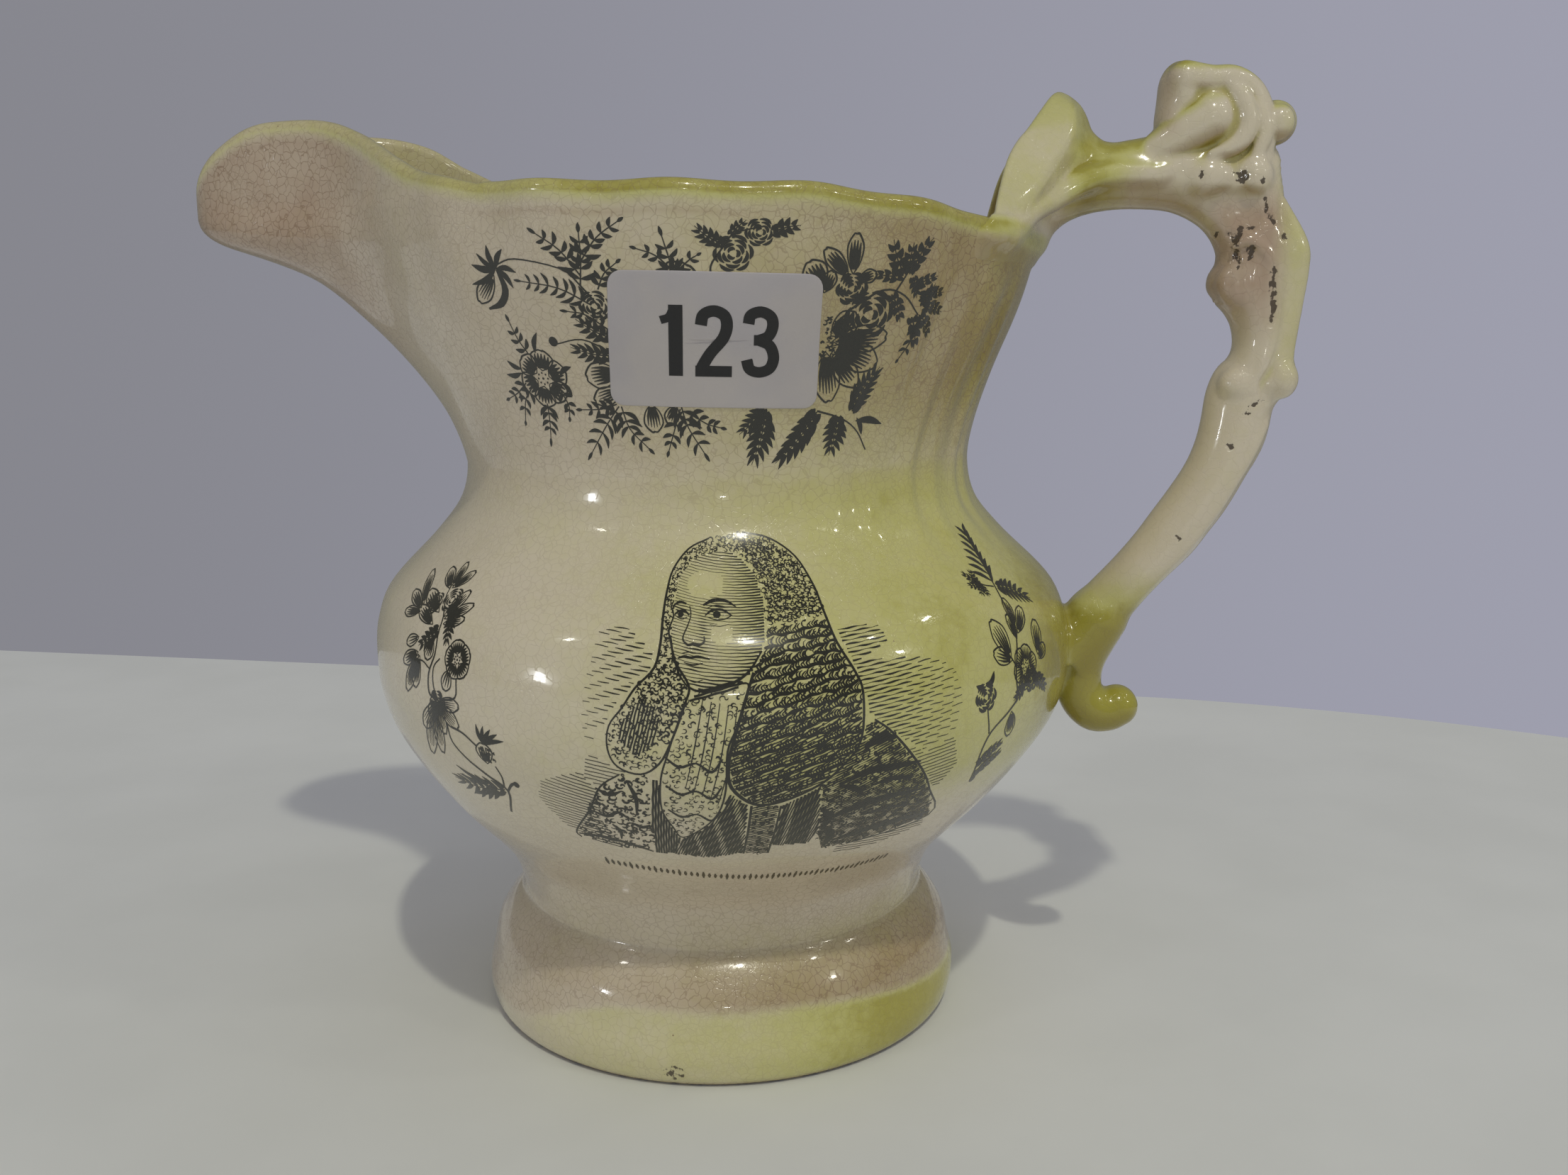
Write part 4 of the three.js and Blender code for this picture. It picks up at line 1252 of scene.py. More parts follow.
def keep_runs(sheet, points, width, keep):
    """Add the stretches of one long line where keep is true."""
    edges = np.flatnonzero(np.diff(np.concatenate([[0], keep.astype(int), [0]])))
    for start, stop in zip(edges[::2], edges[1::2]):
        if stop - start > 2:
            sheet.append(np.column_stack([points[start:stop], width[start:stop]]))


def hatch(sheet, outline, tone, direction, spacing, bend=0.0, step=0.5):
    """Parallel lines in an outline, as wide as the tone asks."""
    turn = np.radians(direction)
    along, across = np.array([np.cos(turn), np.sin(turn)]), np.array([-np.sin(turn), np.cos(turn)])
    corners = np.array(outline, float)
    low_t, high_t = (corners @ along).min(), (corners @ along).max()
    low_c, high_c = (corners @ across).min(), (corners @ across).max()
    t = np.arange(low_t, high_t + step, step)
    middle = (low_t + high_t) / 2
    for offset in np.arange(low_c - abs(bend) * 99, high_c + abs(bend) * 99, spacing):
        sway = offset + bend * (t - middle) ** 2 + 0.05 * np.sin(t * 1.7 + offset * 3)
        points = t[:, None] * along + sway[:, None] * across
        share = np.clip(tone(points[:, 0], points[:, 1]), 0, 1) if callable(tone) else tone + 0 * t
        width = spacing * share
        keep_runs(sheet, points, width, within(points, outline) & (width > 0.07))


def curls(sheet, outline, size, spacing, width, share=1.0, turn_of=4.2):
    """Small open curls scattered evenly over an outline."""
    corners = np.array(outline, float)
    xs = np.arange(corners[:, 0].min(), corners[:, 0].max(), spacing)
    ys = np.arange(corners[:, 1].min(), corners[:, 1].max(), spacing)
    middles = np.stack(np.meshgrid(xs, ys), -1).reshape(-1, 2)
    middles = middles + chance.uniform(-0.4, 0.4, middles.shape) * spacing
    middles = middles[within(middles, outline) & (chance.random(len(middles)) < share)]
    for middle in middles:
        start, radius = chance.uniform(0, 2 * np.pi), size * chance.uniform(0.6, 1.15)
        turn = start + np.linspace(0, turn_of * chance.choice([-1, 1]), 8)
        grow = radius * np.linspace(0.45, 1, 8)
        path = middle + np.stack([np.cos(turn) * grow, np.sin(turn) * grow * 0.85], -1)
        heavy = width * chance.uniform(0.6, 1.4)
        sheet.append(np.column_stack([path, heavy * np.array([0.5, 0.8, 1, 1.1, 1.1, 0.9, 0.6, 0.3])]))


def blot(sheet, middle, radius):
    """A round dot, as a short stroke with a round width."""
    t = np.linspace(-0.98, 0.98, 7)
    middle = np.array(middle, float)
    path = middle + np.stack([t * radius, 0 * t], -1)
    sheet.append(np.column_stack([path, 2 * radius * np.sqrt(1 - t * t)]))


trial = []
hatch(trial, [(0, 0), (10, 0), (10, 5), (0, 5)], 0.5, 0, 1.0)
print("a patch of 10 by 5 mm takes", len(trial), "lines")

# %% [markdown]
# Leaves are drawn with as few strokes as an engraver would use. A plain leaf is one stroke that swells and
# thins, a toothed one is a pale midrib between two combs of short ribs, and a fern is a stem with pairs of
# plain leaves that get smaller towards its tip.

# %% Leaves and ferns


def blade(sheet, base, tip, width, bend=0.0):
    """A plain narrow leaf: one stroke that swells and thins."""
    base, tip = np.array(base, float), np.array(tip, float)
    run = tip - base
    middle = (base + tip) / 2 + np.array([-run[1], run[0]]) * bend
    draw(sheet, [base, middle, tip], [0.12, width * 0.8, width, width * 0.75, 0.1], 5)


def toothed_leaf(sheet, base, tip, width, teeth=7, dark=0.9, bend=0.12):
    """A leaf with a pale midrib: ribs run out from it on both sides and end in teeth."""
    base, tip = np.array(base, float), np.array(tip, float)
    length = np.linalg.norm(tip - base)
    forward = (tip - base) / length
    across = np.array([-forward[1], forward[0]])
    draw(sheet, [base, (base + tip) / 2 + across * bend * length * 0.5, tip], [0.3, 0.22, 0.1])
    for side in (-1, 1):
        for number in range(teeth):
            t = (number + 0.2) / teeth
            aside = bend * length * 2 * t * (1 - t) + side * 0.17
            root = base + forward * length * t * 0.9 + across * aside
            out = width / 2 * np.sin(np.pi * (0.06 + 0.9 * t) ** 0.66) ** 0.9
            end = root + across * side * out + forward * length * (0.15 + 0.1 * t)
            thick = length / teeth * dark * (0.95 - 0.5 * t * t)
            middle = (root + end) / 2 + across * side * out * 0.1
            draw(sheet, [root, middle, end], [thick, thick, thick * 0.6, 0.1], 3)


def fern(sheet, points, leaflets, size, width=1.0, spread=52):
    """A sprig: a thin stem with pairs of small narrow leaves and one at the tip."""
    draw(sheet, points, [0.28, 0.24, 0.18])
    path = smooth_path(points, 8)
    for number in range(leaflets + 1):
        t = 0.16 + 0.84 * number / leaflets
        here = int(t * (len(path) - 1))
        place = path[here]
        run = path[min(here + 1, len(path) - 1)] - path[max(here - 2, 0)]
        heading = np.arctan2(run[1], run[0])
        long = size * (1 - 0.45 * t) * chance.uniform(0.85, 1.15)
        turns = (0,) if number == leaflets else (-1, 1)
        for side in turns:
            turn = heading + side * np.radians(spread) * chance.uniform(0.85, 1.15)
            tip = place + long * np.array([np.cos(turn), np.sin(turn)])
            blade(sheet, place, tip, width * (1 - 0.3 * t), 0.12 * side)


trial = []
toothed_leaf(trial, (0, 0), (8, 0), 4.0)
print("a toothed leaf takes", len(trial), "strokes")

# %% [markdown]
# Flowers are petals set in a ring, and a petal is an outline with fine lines that run out from its base.
# A rose has no such order: rings of thick arcs, each ring turned a little, overlap as its petals do.

# %% Petals and flowers


def petal(sheet, base, tip, width, dark=0.6, lines=5):
    """A broad petal: an outline and fine lines that run out from its base."""
    base, tip = np.array(base, float), np.array(tip, float)
    run = tip - base
    across = np.array([-run[1], run[0]]) / np.linalg.norm(run) * width / 2
    left_edge = [base, base + run * 0.3 + across * 0.75, base + run * 0.7 + across, tip + across * 0.35, tip]
    right_edge = [base, base + run * 0.3 - across * 0.75, base + run * 0.7 - across, tip - across * 0.35, tip]
    draw(sheet, left_edge, [0.2, 0.32, 0.3])
    draw(sheet, right_edge, [0.2, 0.34, 0.42])
    for number in range(lines):
        side = (number + 0.5) / lines * 2 - 1
        far = base + run * (0.86 - 0.12 * side * side) + across * side * 0.78
        near = base + run * 0.12 + across * side * 0.3
        thick = width / lines * dark
        middle = (near + far) / 2 + across * side * 0.12
        draw(sheet, [near, middle, far], [thick * 0.9, thick, thick * 0.25], 3)


def open_flower(sheet, middle, radius, petals=6, dark=0.6, turned=0.0):
    """Petals round a pale middle with a ring of dots."""
    middle = np.array(middle, float)
    for number in range(petals):
        turn = turned + 2 * np.pi * number / petals
        way = np.array([np.cos(turn), np.sin(turn)])
        petal(sheet, middle + way * radius * 0.28, middle + way * radius, radius * 5.2 / petals, dark)
    for number in range(8):
        turn = 2 * np.pi * number / 8
        blot(sheet, middle + radius * 0.2 * np.array([np.cos(turn), np.sin(turn)]), 0.2)
    blot(sheet, middle, 0.25)


def rose(sheet, middle, radius, dark=1.0):
    """A full rose: rings of thick arcs that overlap like petals."""
    middle = np.array(middle, float)
    for ring, (out, count) in enumerate(((0.25, 3), (0.5, 4), (0.74, 5), (0.97, 6))):
        for number in range(count):
            turn = 2 * np.pi * (number + ring * 0.37) / count + np.linspace(-0.55, 0.55, 5) * 5 / count
            bulge = out + 0.05 * np.cos(np.linspace(-1.5, 1.5, 5))
            path = middle + radius * np.stack([np.cos(turn) * bulge, np.sin(turn) * bulge], -1)
            thick = radius * 0.19 * dark
            draw(sheet, path, [0.15, thick, thick * 1.15, thick * 0.8, 0.15], 3)


trial = []
open_flower(trial, (0, 0), 4.0)
print("an open flower takes", len(trial), "strokes")

# %% [markdown]
# A spray of garden flowers and ferns runs round the neck, as on countless transfer-printed jugs.
# It starts behind the paper label, so only its outer parts show.

# %% Neck spray
print_girth = belly[1]
neck_sheet = sheet_at(98, 149, 62)
spray = []
draw(spray, [(-18, 4), (-22.3, 10.3), (-25.5, 13.4), (-33.9, 15.2), (-38.6, 14.2)], [0.35, 0.25, 0.3])
for tip, wide in (((-39.8, 17.8), 1.2), ((-36.4, 17), 1.2), ((-42.2, 16.4), 1), ((-43.8, 14.4), 1.4),
                  ((-34.2, 12.8), 1.1), ((-35.6, 10), 1.2), ((-44.8, 10.8), 1.2)):
    blade(spray, (-38.6, 13.6), tip, wide, 0.1)
draw(spray, [(-38.4, 13.4), (-37.6, 9.8), (-39.4, 7.2), (-42.6, 6.2)], [0.6, 1.5, 1.4, 0.4])
petal(spray, (-39.4, 12.4), (-44.2, 7.6), 3.2, 0.5, 5)
for sprig in (
    ([(-22.3, 10.3), (-21.6, 15), (-21.4, 19.4)], 5, 3.2),
    ([(-21.7, 14.5), (-18.6, 18.6), (-14.9, 21.2)], 5, 2.8),
    ([(-22, 12), (-25, 16.6), (-28.6, 19.4)], 5, 3),
    ([(-19.4, 9.6), (-18, 12.4), (-15.8, 14.2)], 4, 2.4),
    ([(-21, 6.8), (-26.4, 9.9), (-33.4, 11.2)], 7, 3.1, 0.8),
    ([(-18.6, 2.2), (-22.4, 5), (-25.4, 5.6)], 4, 2.6, 0.85),
):
    fern(spray, *sprig)
draw(spray, [(-19, -2), (-24, 0.3), (-29.5, -0.6)], [0.3, 0.25])
toothed_leaf(spray, (-18.4, 0.6), (-24.4, 4.2), 4, 5)
toothed_leaf(spray, (-18.4, -2.8), (-26.6, -1.2), 3.8, 6)
petal(spray, (-18, -6), (-24.6, -7), 5, 0.75, 6)
petal(spray, (-18, -9.4), (-23.8, -11.6), 3.6, 0.55, 5)
rose(spray, (-20.4, 6.6), 2.6)
blot(spray, (-30, -0.1), 0.95)
open_flower(spray, (-34.6, -7.4), 5.6, 6, 0.85, 0.3)
fern(spray, [(-36.6, -2.4), (-38, 0.2), (-38.9, 3.6)], 3, 2.6)
fern(spray, [(-39.4, -8.4), (-42.4, -10.4), (-45.4, -11.6)], 3, 2.4)
for base, tip in (((-34.8, -2.4), (-33.2, 1.6)), ((-39.4, -5.6), (-42.6, -4)), ((-39.8, -6.4), (-44, -6.8)),
                  ((-30.4, -6.6), (-27.6, -5)), ((-30.6, -8), (-28.8, -10.8))):
    blade(spray, base, tip, 1.1, 0.1)
for sprig in (
    ([(-35.4, -12.4), (-35.8, -15.4), (-36.6, -19.2)], 4, 3),
    ([(-31.2, -9.8), (-30.2, -12.6), (-30.6, -14.8)], 3, 2.2),
    ([(-38.5, -9.6), (-41, -12), (-42.6, -16)], 3, 2.4),
    ([(-19.1, -12.6), (-22.6, -16.6), (-26.6, -21.6)], 5, 4),
    ([(-18.6, -12.6), (-17.4, -17), (-13.9, -20.6)], 5, 3.6),
    ([(-19.5, -12.2), (-23, -13.2), (-27.2, -13.4)], 4, 2.6),
):
    fern(spray, *sprig)
petal(spray, (-12.5, -12), (-12.2, -17.4), 3.8, 0.6, 5)
petal(spray, (-7.6, -12.2), (-9.2, -15.8), 2.8, 0.6, 4)
fern(spray, [(-6.6, -12.4), (-5.4, -16.6), (-2.4, -21.4)], 5, 3.6)
fern(spray, [(-6.8, -13), (-8.4, -17.6), (-9.6, -21)], 4, 2.8)
fern(spray, [(-5.6, -13.4), (-1.8, -15.8), (1, -16.6)], 4, 2.4)
for leaf in (
    ((9.6, -12.8), (4.8, -17.9), 4, 6, 1), ((9.8, -13.6), (7.4, -23.8), 5.6, 7, 1.05),
    ((20.5, -13.8), (12.4, -23.6), 4.6, 7, 1.1), ((25.2, -14.8), (24.2, -22.4), 5.2, 6, 1.1),
):
    toothed_leaf(spray, *leaf)
blade(spray, (29.6, -15.8), (36.2, -16.6), 1.5, 0.08)
blade(spray, (29.8, -15.2), (31.8, -18.6), 1.1, 0.08)
draw(spray, [(20.5, -13.6), (26, -15.2), (30.6, -18), (33.2, -21.6)], [0.4, 0.3, 0.25])
toothed_leaf(spray, (28.2, -13.8), (32.8, -5.2), 5, 7, 1.1)
for part in (
    ((20.4, -2), (22.6, -11.6), 5, 0.7, 6), ((21.5, -1), (31.4, -4.6), 5.4, 0.84, 6),
    ((21.5, 0), (32.2, 0.8), 5.2, 0.88, 6), ((21.5, -2.4), (27.8, -8.6), 4.2, 0.88, 5),
    ((21, 1), (25.4, 5), 4.8, 0.95, 6),
):
    petal(spray, *part)
curls(spray, [(19.4, -5), (24, -5), (24.4, 3.6), (19.4, 5)], 0.5, 0.95, 0.34)
rose(spray, (27.8, 5), 4.2, 1.15)
rose(spray, (23.6, 9.8), 2.7, 1.3)
for part in (
    ((22.6, 12), (18, 16.6), 2.9, 1, 4), ((23.4, 12.4), (23.4, 19.4), 3, 1, 4),
    ((24.6, 11.4), (27.8, 12.6), 2.4, 1, 4), ((18.2, 10), (15.4, 14.4), 4.2, 0.95, 5),
    ((18.4, 9), (19.6, 12.8), 2.6, 1, 4),
):
    petal(spray, *part)
draw(spray, [(24, 6), (29.6, 9.6), (34.2, 8.6), (38, 5)], [0.45, 0.35, 0.25])
for base, tip, wide in (
    ((33, 12.6), (30.2, 18.6), 3), ((34.6, 13.6), (37.8, 19.2), 2.6), ((33, 12.4), (27.6, 12.6), 2.2),
    ((35, 12), (36.8, 8.2), 2.2), ((34.2, 12.6), (34, 18.2), 2.4), ((37.4, 8.4), (43.4, 9.4), 2.2),
    ((38.8, 6.6), (44.8, 5.6), 2.4), ((38.2, 5), (42.8, 0.6), 2.2), ((36.8, 4.6), (39.4, -1.6), 2),
    ((31.4, 8.8), (34.6, 3.6), 2.4), ((35.6, 10), (40.4, 12.4), 1.8), ((38.6, 6.6), (40.2, 11), 1.7),
):
    toothed_leaf(spray, base, tip, wide, 4, 1)
draw(spray, [(32, 9.2), (33.8, 13), (34.8, 16)], [0.35, 0.2])
for sprig in (
    ([(38.2, 3), (38, -0.4), (36.6, -3.6)], 3, 2, 0.9),
    ([(-6, 11), (-6.8, 14.6), (-7.8, 18.6)], 4, 3, 0.95),
    ([(-6.2, 12.6), (-9, 15.4), (-12, 16.6)], 3, 2.2, 0.9),
    ([(-5.8, 12.6), (-3.8, 14.6), (-2.6, 15.4)], 2, 1.8, 0.8),
):
    fern(spray, *sprig)
petal(spray, (-6, 10.6), (-4.2, 13.8), 5.6, 1, 6)
draw(spray, [(0, 11), (-0.4, 13.6), (1.4, 16.6), (3.4, 19.2), (8, 20.4)], [0.35, 0.25])
rose(spray, (3.2, 15.8), 2.9, 1.1)
rose(spray, (7.4, 19.4), 2.2, 1.1)
toothed_leaf(spray, (1.4, 17.4), (-2.8, 20.4), 2.8, 5, 1.05)
toothed_leaf(spray, (2.8, 18.8), (5.2, 21.4), 1.8, 4, 1.05)
toothed_leaf(spray, (9.4, 19.4), (13.6, 20.6), 3, 4, 1.1)
neck_spray = ribbons("neck_spray_print", spray, neck_sheet)

# %% [markdown]
# The belly carries a framed figure's usual place: head and shoulders in a full curled wig, with a lace
# neckcloth and an embroidered coat. Nobody is portrayed. The wig could be one grey patch, but locks in
# rows with small curls between them read as hair, and the rows follow the way that it hangs.

# %% Wig
belly_sheet = sheet_at(102.6, 88, print_girth)
head = []
wig_right = [(-0.1, 33.1), (6.6, 31.7), (11.9, 27.7), (14.3, 21.4), (14.8, 15.2), (15.6, 8.9), (18.2, 3.2),
             (19.2, -0.5), (18.8, -8.9), (16, -13.6), (11.8, -17.7), (5, -21.2), (-0.3, -21.6), (-4.8, -17.4),
             (-5.4, -12.3), (-4.4, -7.4), (-2.5, -1.1), (-0.6, 4.2), (1.8, 9), (2.8, 14), (3, 19), (2, 24.4),
             (-1.6, 28.4), (-5, 29.4), (-8.3, 28.9), (-8.3, 31.9)]
wig_left = [(-8.3, 31.9), (-13.1, 29.7), (-16.3, 25.3), (-17.2, 20.3), (-17.4, 14.8), (-17.4, 9.6),
            (-18.4, 5), (-21.8, 1.4), (-24.3, -2.3), (-26.8, -5.7), (-27.2, -10), (-25.6, -13.5),
            (-21.4, -14.8), (-17.8, -12.4), (-15.3, -7.5), (-12.9, -1.1), (-12.2, 2), (-14.6, 6.2),
            (-15.7, 11), (-15.5, 18), (-14.8, 24), (-12, 27.6), (-8.3, 28.9)]
draw(head, wig_right[:18], [0.35, 0.5, 0.45, 0.7, 0.5])
draw(head, wig_left[:19], [0.35, 0.5, 0.3, 0.4, 0.45])
curls(head, [point for point in wig_right if point[1] > 11], 0.7, 0.85, 0.25)
curls(head, [(-1, 32), (7, 30.6), (12, 26), (14, 16), (14.4, 14.6), (3, 12), (3.4, 22), (-1, 29)],
      0.5, 0.8, 0.24, 0.9)
lock_rows, lock_gap, first_row = 19, 1.95, 9.2
for number in range(lock_rows):
    level = first_row - lock_gap * number
    t = np.arange(-6, 20, 0.35)
    rise = 0.24 + 0.016 * min(number, 10)
    sway = 0.22 * np.sin(t * 0.7 + number * 1.9) + 0.12 * np.sin(t * 2.1 + number)
    path = np.stack([t, level + rise * (t + 4) - 0.004 * (t + 4) ** 2 + sway], -1)
    keep_runs(head, path, 0.34 + 0.34 * np.sin(t * 0.8 + number * 2.3) ** 2, within(path, wig_right))
    for position in np.arange(-6, 20, 0.5):
        foot_of_lock = np.array([position, np.interp(position, t, path[:, 1])])
        size = chance.uniform(1.1, 1.8)
        lean = chance.uniform(-0.25, 0.35)
        bends = [(0, 0.1), (-0.4, size * 0.4), (lean - 0.1, size * 0.8), (lean + 0.35, size)]
        lock = foot_of_lock + np.array(bends)
        if within(lock[:3], wig_right).all() and chance.random() < 0.9:
            heavy = chance.uniform(0.16, 0.4)
            draw(head, lock, [heavy, heavy, heavy * 0.4], 2)
curls(head, [point for point in wig_right if point[1] < 9.5], 0.4, 1.3, 0.26, 0.7)
hatch(head, [point for point in wig_right if point[1] < 0], lambda x, y: 0.4 * ease(0, 9, -y), 22, 0.6)
curls(head, wig_left[:3] + [(-17.4, 14), (-17.4, 9)] + wig_left[17:], 0.5, 0.7, 0.25)
curls(head, [(-17.4, 9), (-18.4, 5), (-21.8, 1.4), (-20, -4), (-16.6, -9), (-12.9, -1.1), (-12.2, 2),
             (-14.6, 6.2)], 0.6, 0.8, 0.3)
curls(head, wig_left[7:11] + [(-25.6, -13), (-21.4, -14.4), (-17.8, -12.4), (-18, -7), (-20, -3)],
      0.6, 1, 0.24)
hatch(head, [(-20, 0), (-23.5, -3), (-25.5, -8), (-22, -11.4), (-18.4, -9), (-17.4, -4)], 0.55, 75, 0.6)
print("wig strokes", len(head))

# %% [markdown]
# The face is a drawing-book face: the eyes lie halfway down the head, the nose ends halfway between brow
# and chin, and the mouth a third below it. One patch of level lines, thicker in the shade, rounds it, and
# sixteen short strokes and two dots give the features.

# %% Face
hairline = wig_right[24:16:-1]
face_outline = [(-15.5, 18), (-15.2, 24), (-12, 27.6)] + hairline + [
    (-4.4, 2.2), (-9.8, 1.2), (-12.4, 1.9), (-13.8, 4), (-14.9, 7.4), (-15.9, 11.6), (-15.4, 14.8)]


def dab(x, y, middle, half):
    """A soft spot: 1 in its middle, falling away over half its size."""
    return np.exp(-(((x - middle[0]) / half[0]) ** 2) - ((y - middle[1]) / half[1]) ** 2)


def face_tone(x, y):
    """Light from the front left: the near cheek and the hollows of the face are in shade."""
    tone = 0.16 + 0.42 * ease(-6, 3.5, x) + 0.12 * ease(24, 29, y) + 0.12 * (1 - ease(-15.6, -14.2, x))
    tone = tone + 0.34 * dab(x, y, (-6.2, 16.9), (2.6, 1)) + 0.3 * dab(x, y, (-14, 16.6), (1.5, 0.9))
    tone = tone + 0.26 * dab(x, y, (-9.5, 12.6), (0.8, 3)) + 0.34 * dab(x, y, (-10.8, 8.4), (1.9, 0.6))
    tone = tone + 0.3 * dab(x, y, (-11, 4.9), (1.9, 0.5)) + 0.3 * (1 - ease(1.4, 4.4, y - 0.25 * (x + 10)))
    tone = tone - 0.12 * dab(x, y, (-9, 22), (4, 3)) - 0.12 * dab(x, y, (-5.6, 11.4), (2.4, 2.2))
    return tone


hatch(head, face_outline, face_tone, -6, 0.62, 0.012)
for points, widths in (
    ([(-15.5, 18.4), (-15.9, 17), (-15.3, 15), (-16, 12), (-15.4, 9.4), (-14.9, 7), (-13.9, 4), (-12.6, 2)],
     [0.25, 0.35, 0.3]),
    ([(-12.6, 2), (-10.8, 1.1), (-8, 1.2), (-4.4, 2.4), (-1.4, 4.4), (1.2, 8)], [0.3, 0.5, 0.5, 0.3]),
    ([(-15.6, 17.2), (-14.3, 18.1), (-12.9, 17.7)], [0.25, 0.65, 0.35]),
    ([(-9.5, 17.4), (-7.4, 18.5), (-4.8, 18.3), (-2.9, 17)], [0.4, 0.85, 0.6, 0.2]),
    ([(-9.1, 15.2), (-7.7, 16.3), (-5.7, 16.4), (-3.8, 15.1)], [0.25, 0.55, 0.5, 0.25]),
    ([(-8.7, 14.9), (-7.1, 14.3), (-5.3, 14.4), (-4.1, 15)], [0.15, 0.25, 0.2]),
    ([(-8.9, 16.7), (-6.9, 17.4), (-4.5, 16.9)], [0.12, 0.2, 0.1]),
    ([(-8.2, 13.3), (-6.4, 12.9), (-4.6, 13.3)], [0.1, 0.16, 0.1]),
    ([(-15.1, 15.3), (-14.3, 16.1), (-13.1, 16.1), (-12.2, 15.2)], [0.3, 0.5, 0.3]),
    ([(-14.7, 14.9), (-13.6, 14.4), (-12.6, 14.8)], [0.15, 0.22, 0.15]),
    ([(-12.2, 17.2), (-11.9, 15.2), (-12.5, 12.9), (-13.2, 11), (-13.2, 10)], [0.2, 0.2, 0.26, 0.3]),
    ([(-13.2, 10), (-12.3, 9.2), (-11.2, 9.4), (-10.2, 9.2), (-9.3, 9.8), (-9.3, 10.9)],
     [0.3, 0.5, 0.45, 0.4, 0.2]),
    ([(-14.1, 6.8), (-12.9, 7.1), (-11.8, 6.9), (-10.4, 7.05), (-8.3, 6.6)], [0.25, 0.5, 0.4, 0.5, 0.2]),
    ([(-13.3, 7.7), (-12.1, 7.9), (-11.4, 7.7), (-10, 7.7)], [0.12, 0.2, 0.12]),
    ([(-13, 6), (-11.4, 5.6), (-9.6, 5.9)], [0.15, 0.3, 0.15]),
    ([(-12.4, 3.1), (-11.1, 2.6), (-9.7, 3)], [0.1, 0.22, 0.1]),
):
    draw(head, points, widths)
for pupil, radius in (((-6.8, 15.4), 0.78), ((-13.9, 15.4), 0.6)):
    blot(head, pupil, radius)
portrait_head = ribbons("portrait_head_print", head, belly_sheet)

# %% [markdown]
# The dress is where an engraver shows off: lace is all small curls, brocade is bold ones,
# and black cloth is lines so wide that they almost touch.

# %% Neckcloth and coat
dress = []
neckcloth = [(-10.6, 1), (-12.9, -1), (-14.8, -6.1), (-16.2, -10.4), (-17.7, -15.7), (-18, -23.1),
             (-16.1, -28.3), (-14.3, -31.3), (-9.9, -28.1), (-7, -23.6), (-5.8, -17.7), (-5.6, -9.8),
             (-3.8, -5.1), (-1.6, 1.6), (-3, 2.4)]
draw(dress, neckcloth[1:], [0.3, 0.35, 0.3, 0.4, 0.35])
curls(dress, neckcloth, 0.62, 1.15, 0.22, 0.8)
for number in range(5):
    top = (-9.8 + number * 1.5, -0.5 - number * 0.3)
    draw(dress, [top, (top[0] - 1.6, -9 - number), (top[0] - 3.4, -17.5 - number)], [0.16, 0.26, 0.14])
for level in (-12.6, -18.6, -24.6):
    frill = [(-16.8, 1.6), (-14.2, -0.4), (-11.2, 0.4), (-8.4, -1.4), (-6.6, 1.2)]
    draw(dress, [(across, level + rise) for across, rise in frill], [0.3, 0.6, 0.35, 0.6, 0.3])
hatch(dress, [(-10.6, 1), (-12.6, -0.8), (-9, -0.4), (-3.4, 1.4), (-2, 3.2)], 0.75, 15, 0.55)
strip = [(-19.4, -15.2), (-17.9, -16), (-18.2, -23.1), (-16.3, -28.5), (-14.6, -31.8), (-17, -37),
         (-21.1, -37.3)]
coat_front = [(-14.4, -31.8), (-9.6, -28.3), (-6.6, -23.6), (-5, -18.6), (-1.4, -21.9), (-1.2, -36.7),
              (-9, -38.4), (-17.8, -36.9)]
coat_side = [(5.2, -22.2), (11.9, -18.1), (14.2, -29.9), (13.4, -35), (4.6, -34.8)]
hatch(dress, strip, 0.82, 84, 0.55)
hatch(dress, coat_front, lambda x, y: 0.88 - 0.34 * (np.sin(x * 1.3 + y * 0.28) > 0.72), 66, 0.55)
hatch(dress, coat_side, lambda x, y: 0.9 - 0.35 * (np.sin(x * 1.1) > 0.8), 78, 0.55)
button_band = [(-0.8, -22), (4.8, -22.4), (4.2, -37.4), (-1.2, -36.9)]
curls(dress, button_band, 0.6, 1.25, 0.34, 0.8)
hatch(dress, button_band, 0.5, 12, 0.55)
draw(dress, [(-0.8, -22), (-0.9, -30), (-1.2, -37)], [0.5, 0.5])
draw(dress, [(4.9, -22.4), (4.7, -30), (4.3, -37.2)], [0.4, 0.5])
for number in range(5):
    blot(dress, (1.9 - 0.1 * number, -24.2 - number * 2.9), 0.62)


def brocade(x, y):
    """Dark cloth with pale scrolls woven in."""
    scroll = np.sin(x * 1.35 + 1.4 * np.sin(y * 0.9)) * np.sin(y * 1.25 - 0.9 * np.sin(x * 0.8))
    return 0.66 - 0.5 * ease(0.05, 0.4, scroll)


left_arm = [(-25.4, -15.1), (-29.6, -18.3), (-33, -24.7), (-38.3, -31.9), (-37.8, -34), (-22.1, -36.5),
            (-21.4, -37.3), (-20, -14.9)]
draw(dress, left_arm[:5], [0.3, 0.45, 0.3])
curls(dress, left_arm, 0.9, 1.6, 0.42, 0.9)
curls(dress, left_arm, 0.45, 1.3, 0.3, 0.6)
for points in (
    [(-30.6, -18.6), (-28, -20), (-25.6, -19)], [(-33, -24.6), (-29.6, -26), (-27, -24.6), (-25, -26.4)],
    [(-38, -32.8), (-32, -33), (-26, -34.6), (-21.4, -36.6)],
    [(-24.6, -27.4), (-22.6, -28.6), (-20.8, -27.8)],
    [(-29, -28.4), (-27.6, -30.4), (-28, -33)], [(-24.2, -16.4), (-22.8, -20.4), (-23.2, -25)],
):
    draw(dress, points, [0.3, 0.9, 0.8, 0.3])
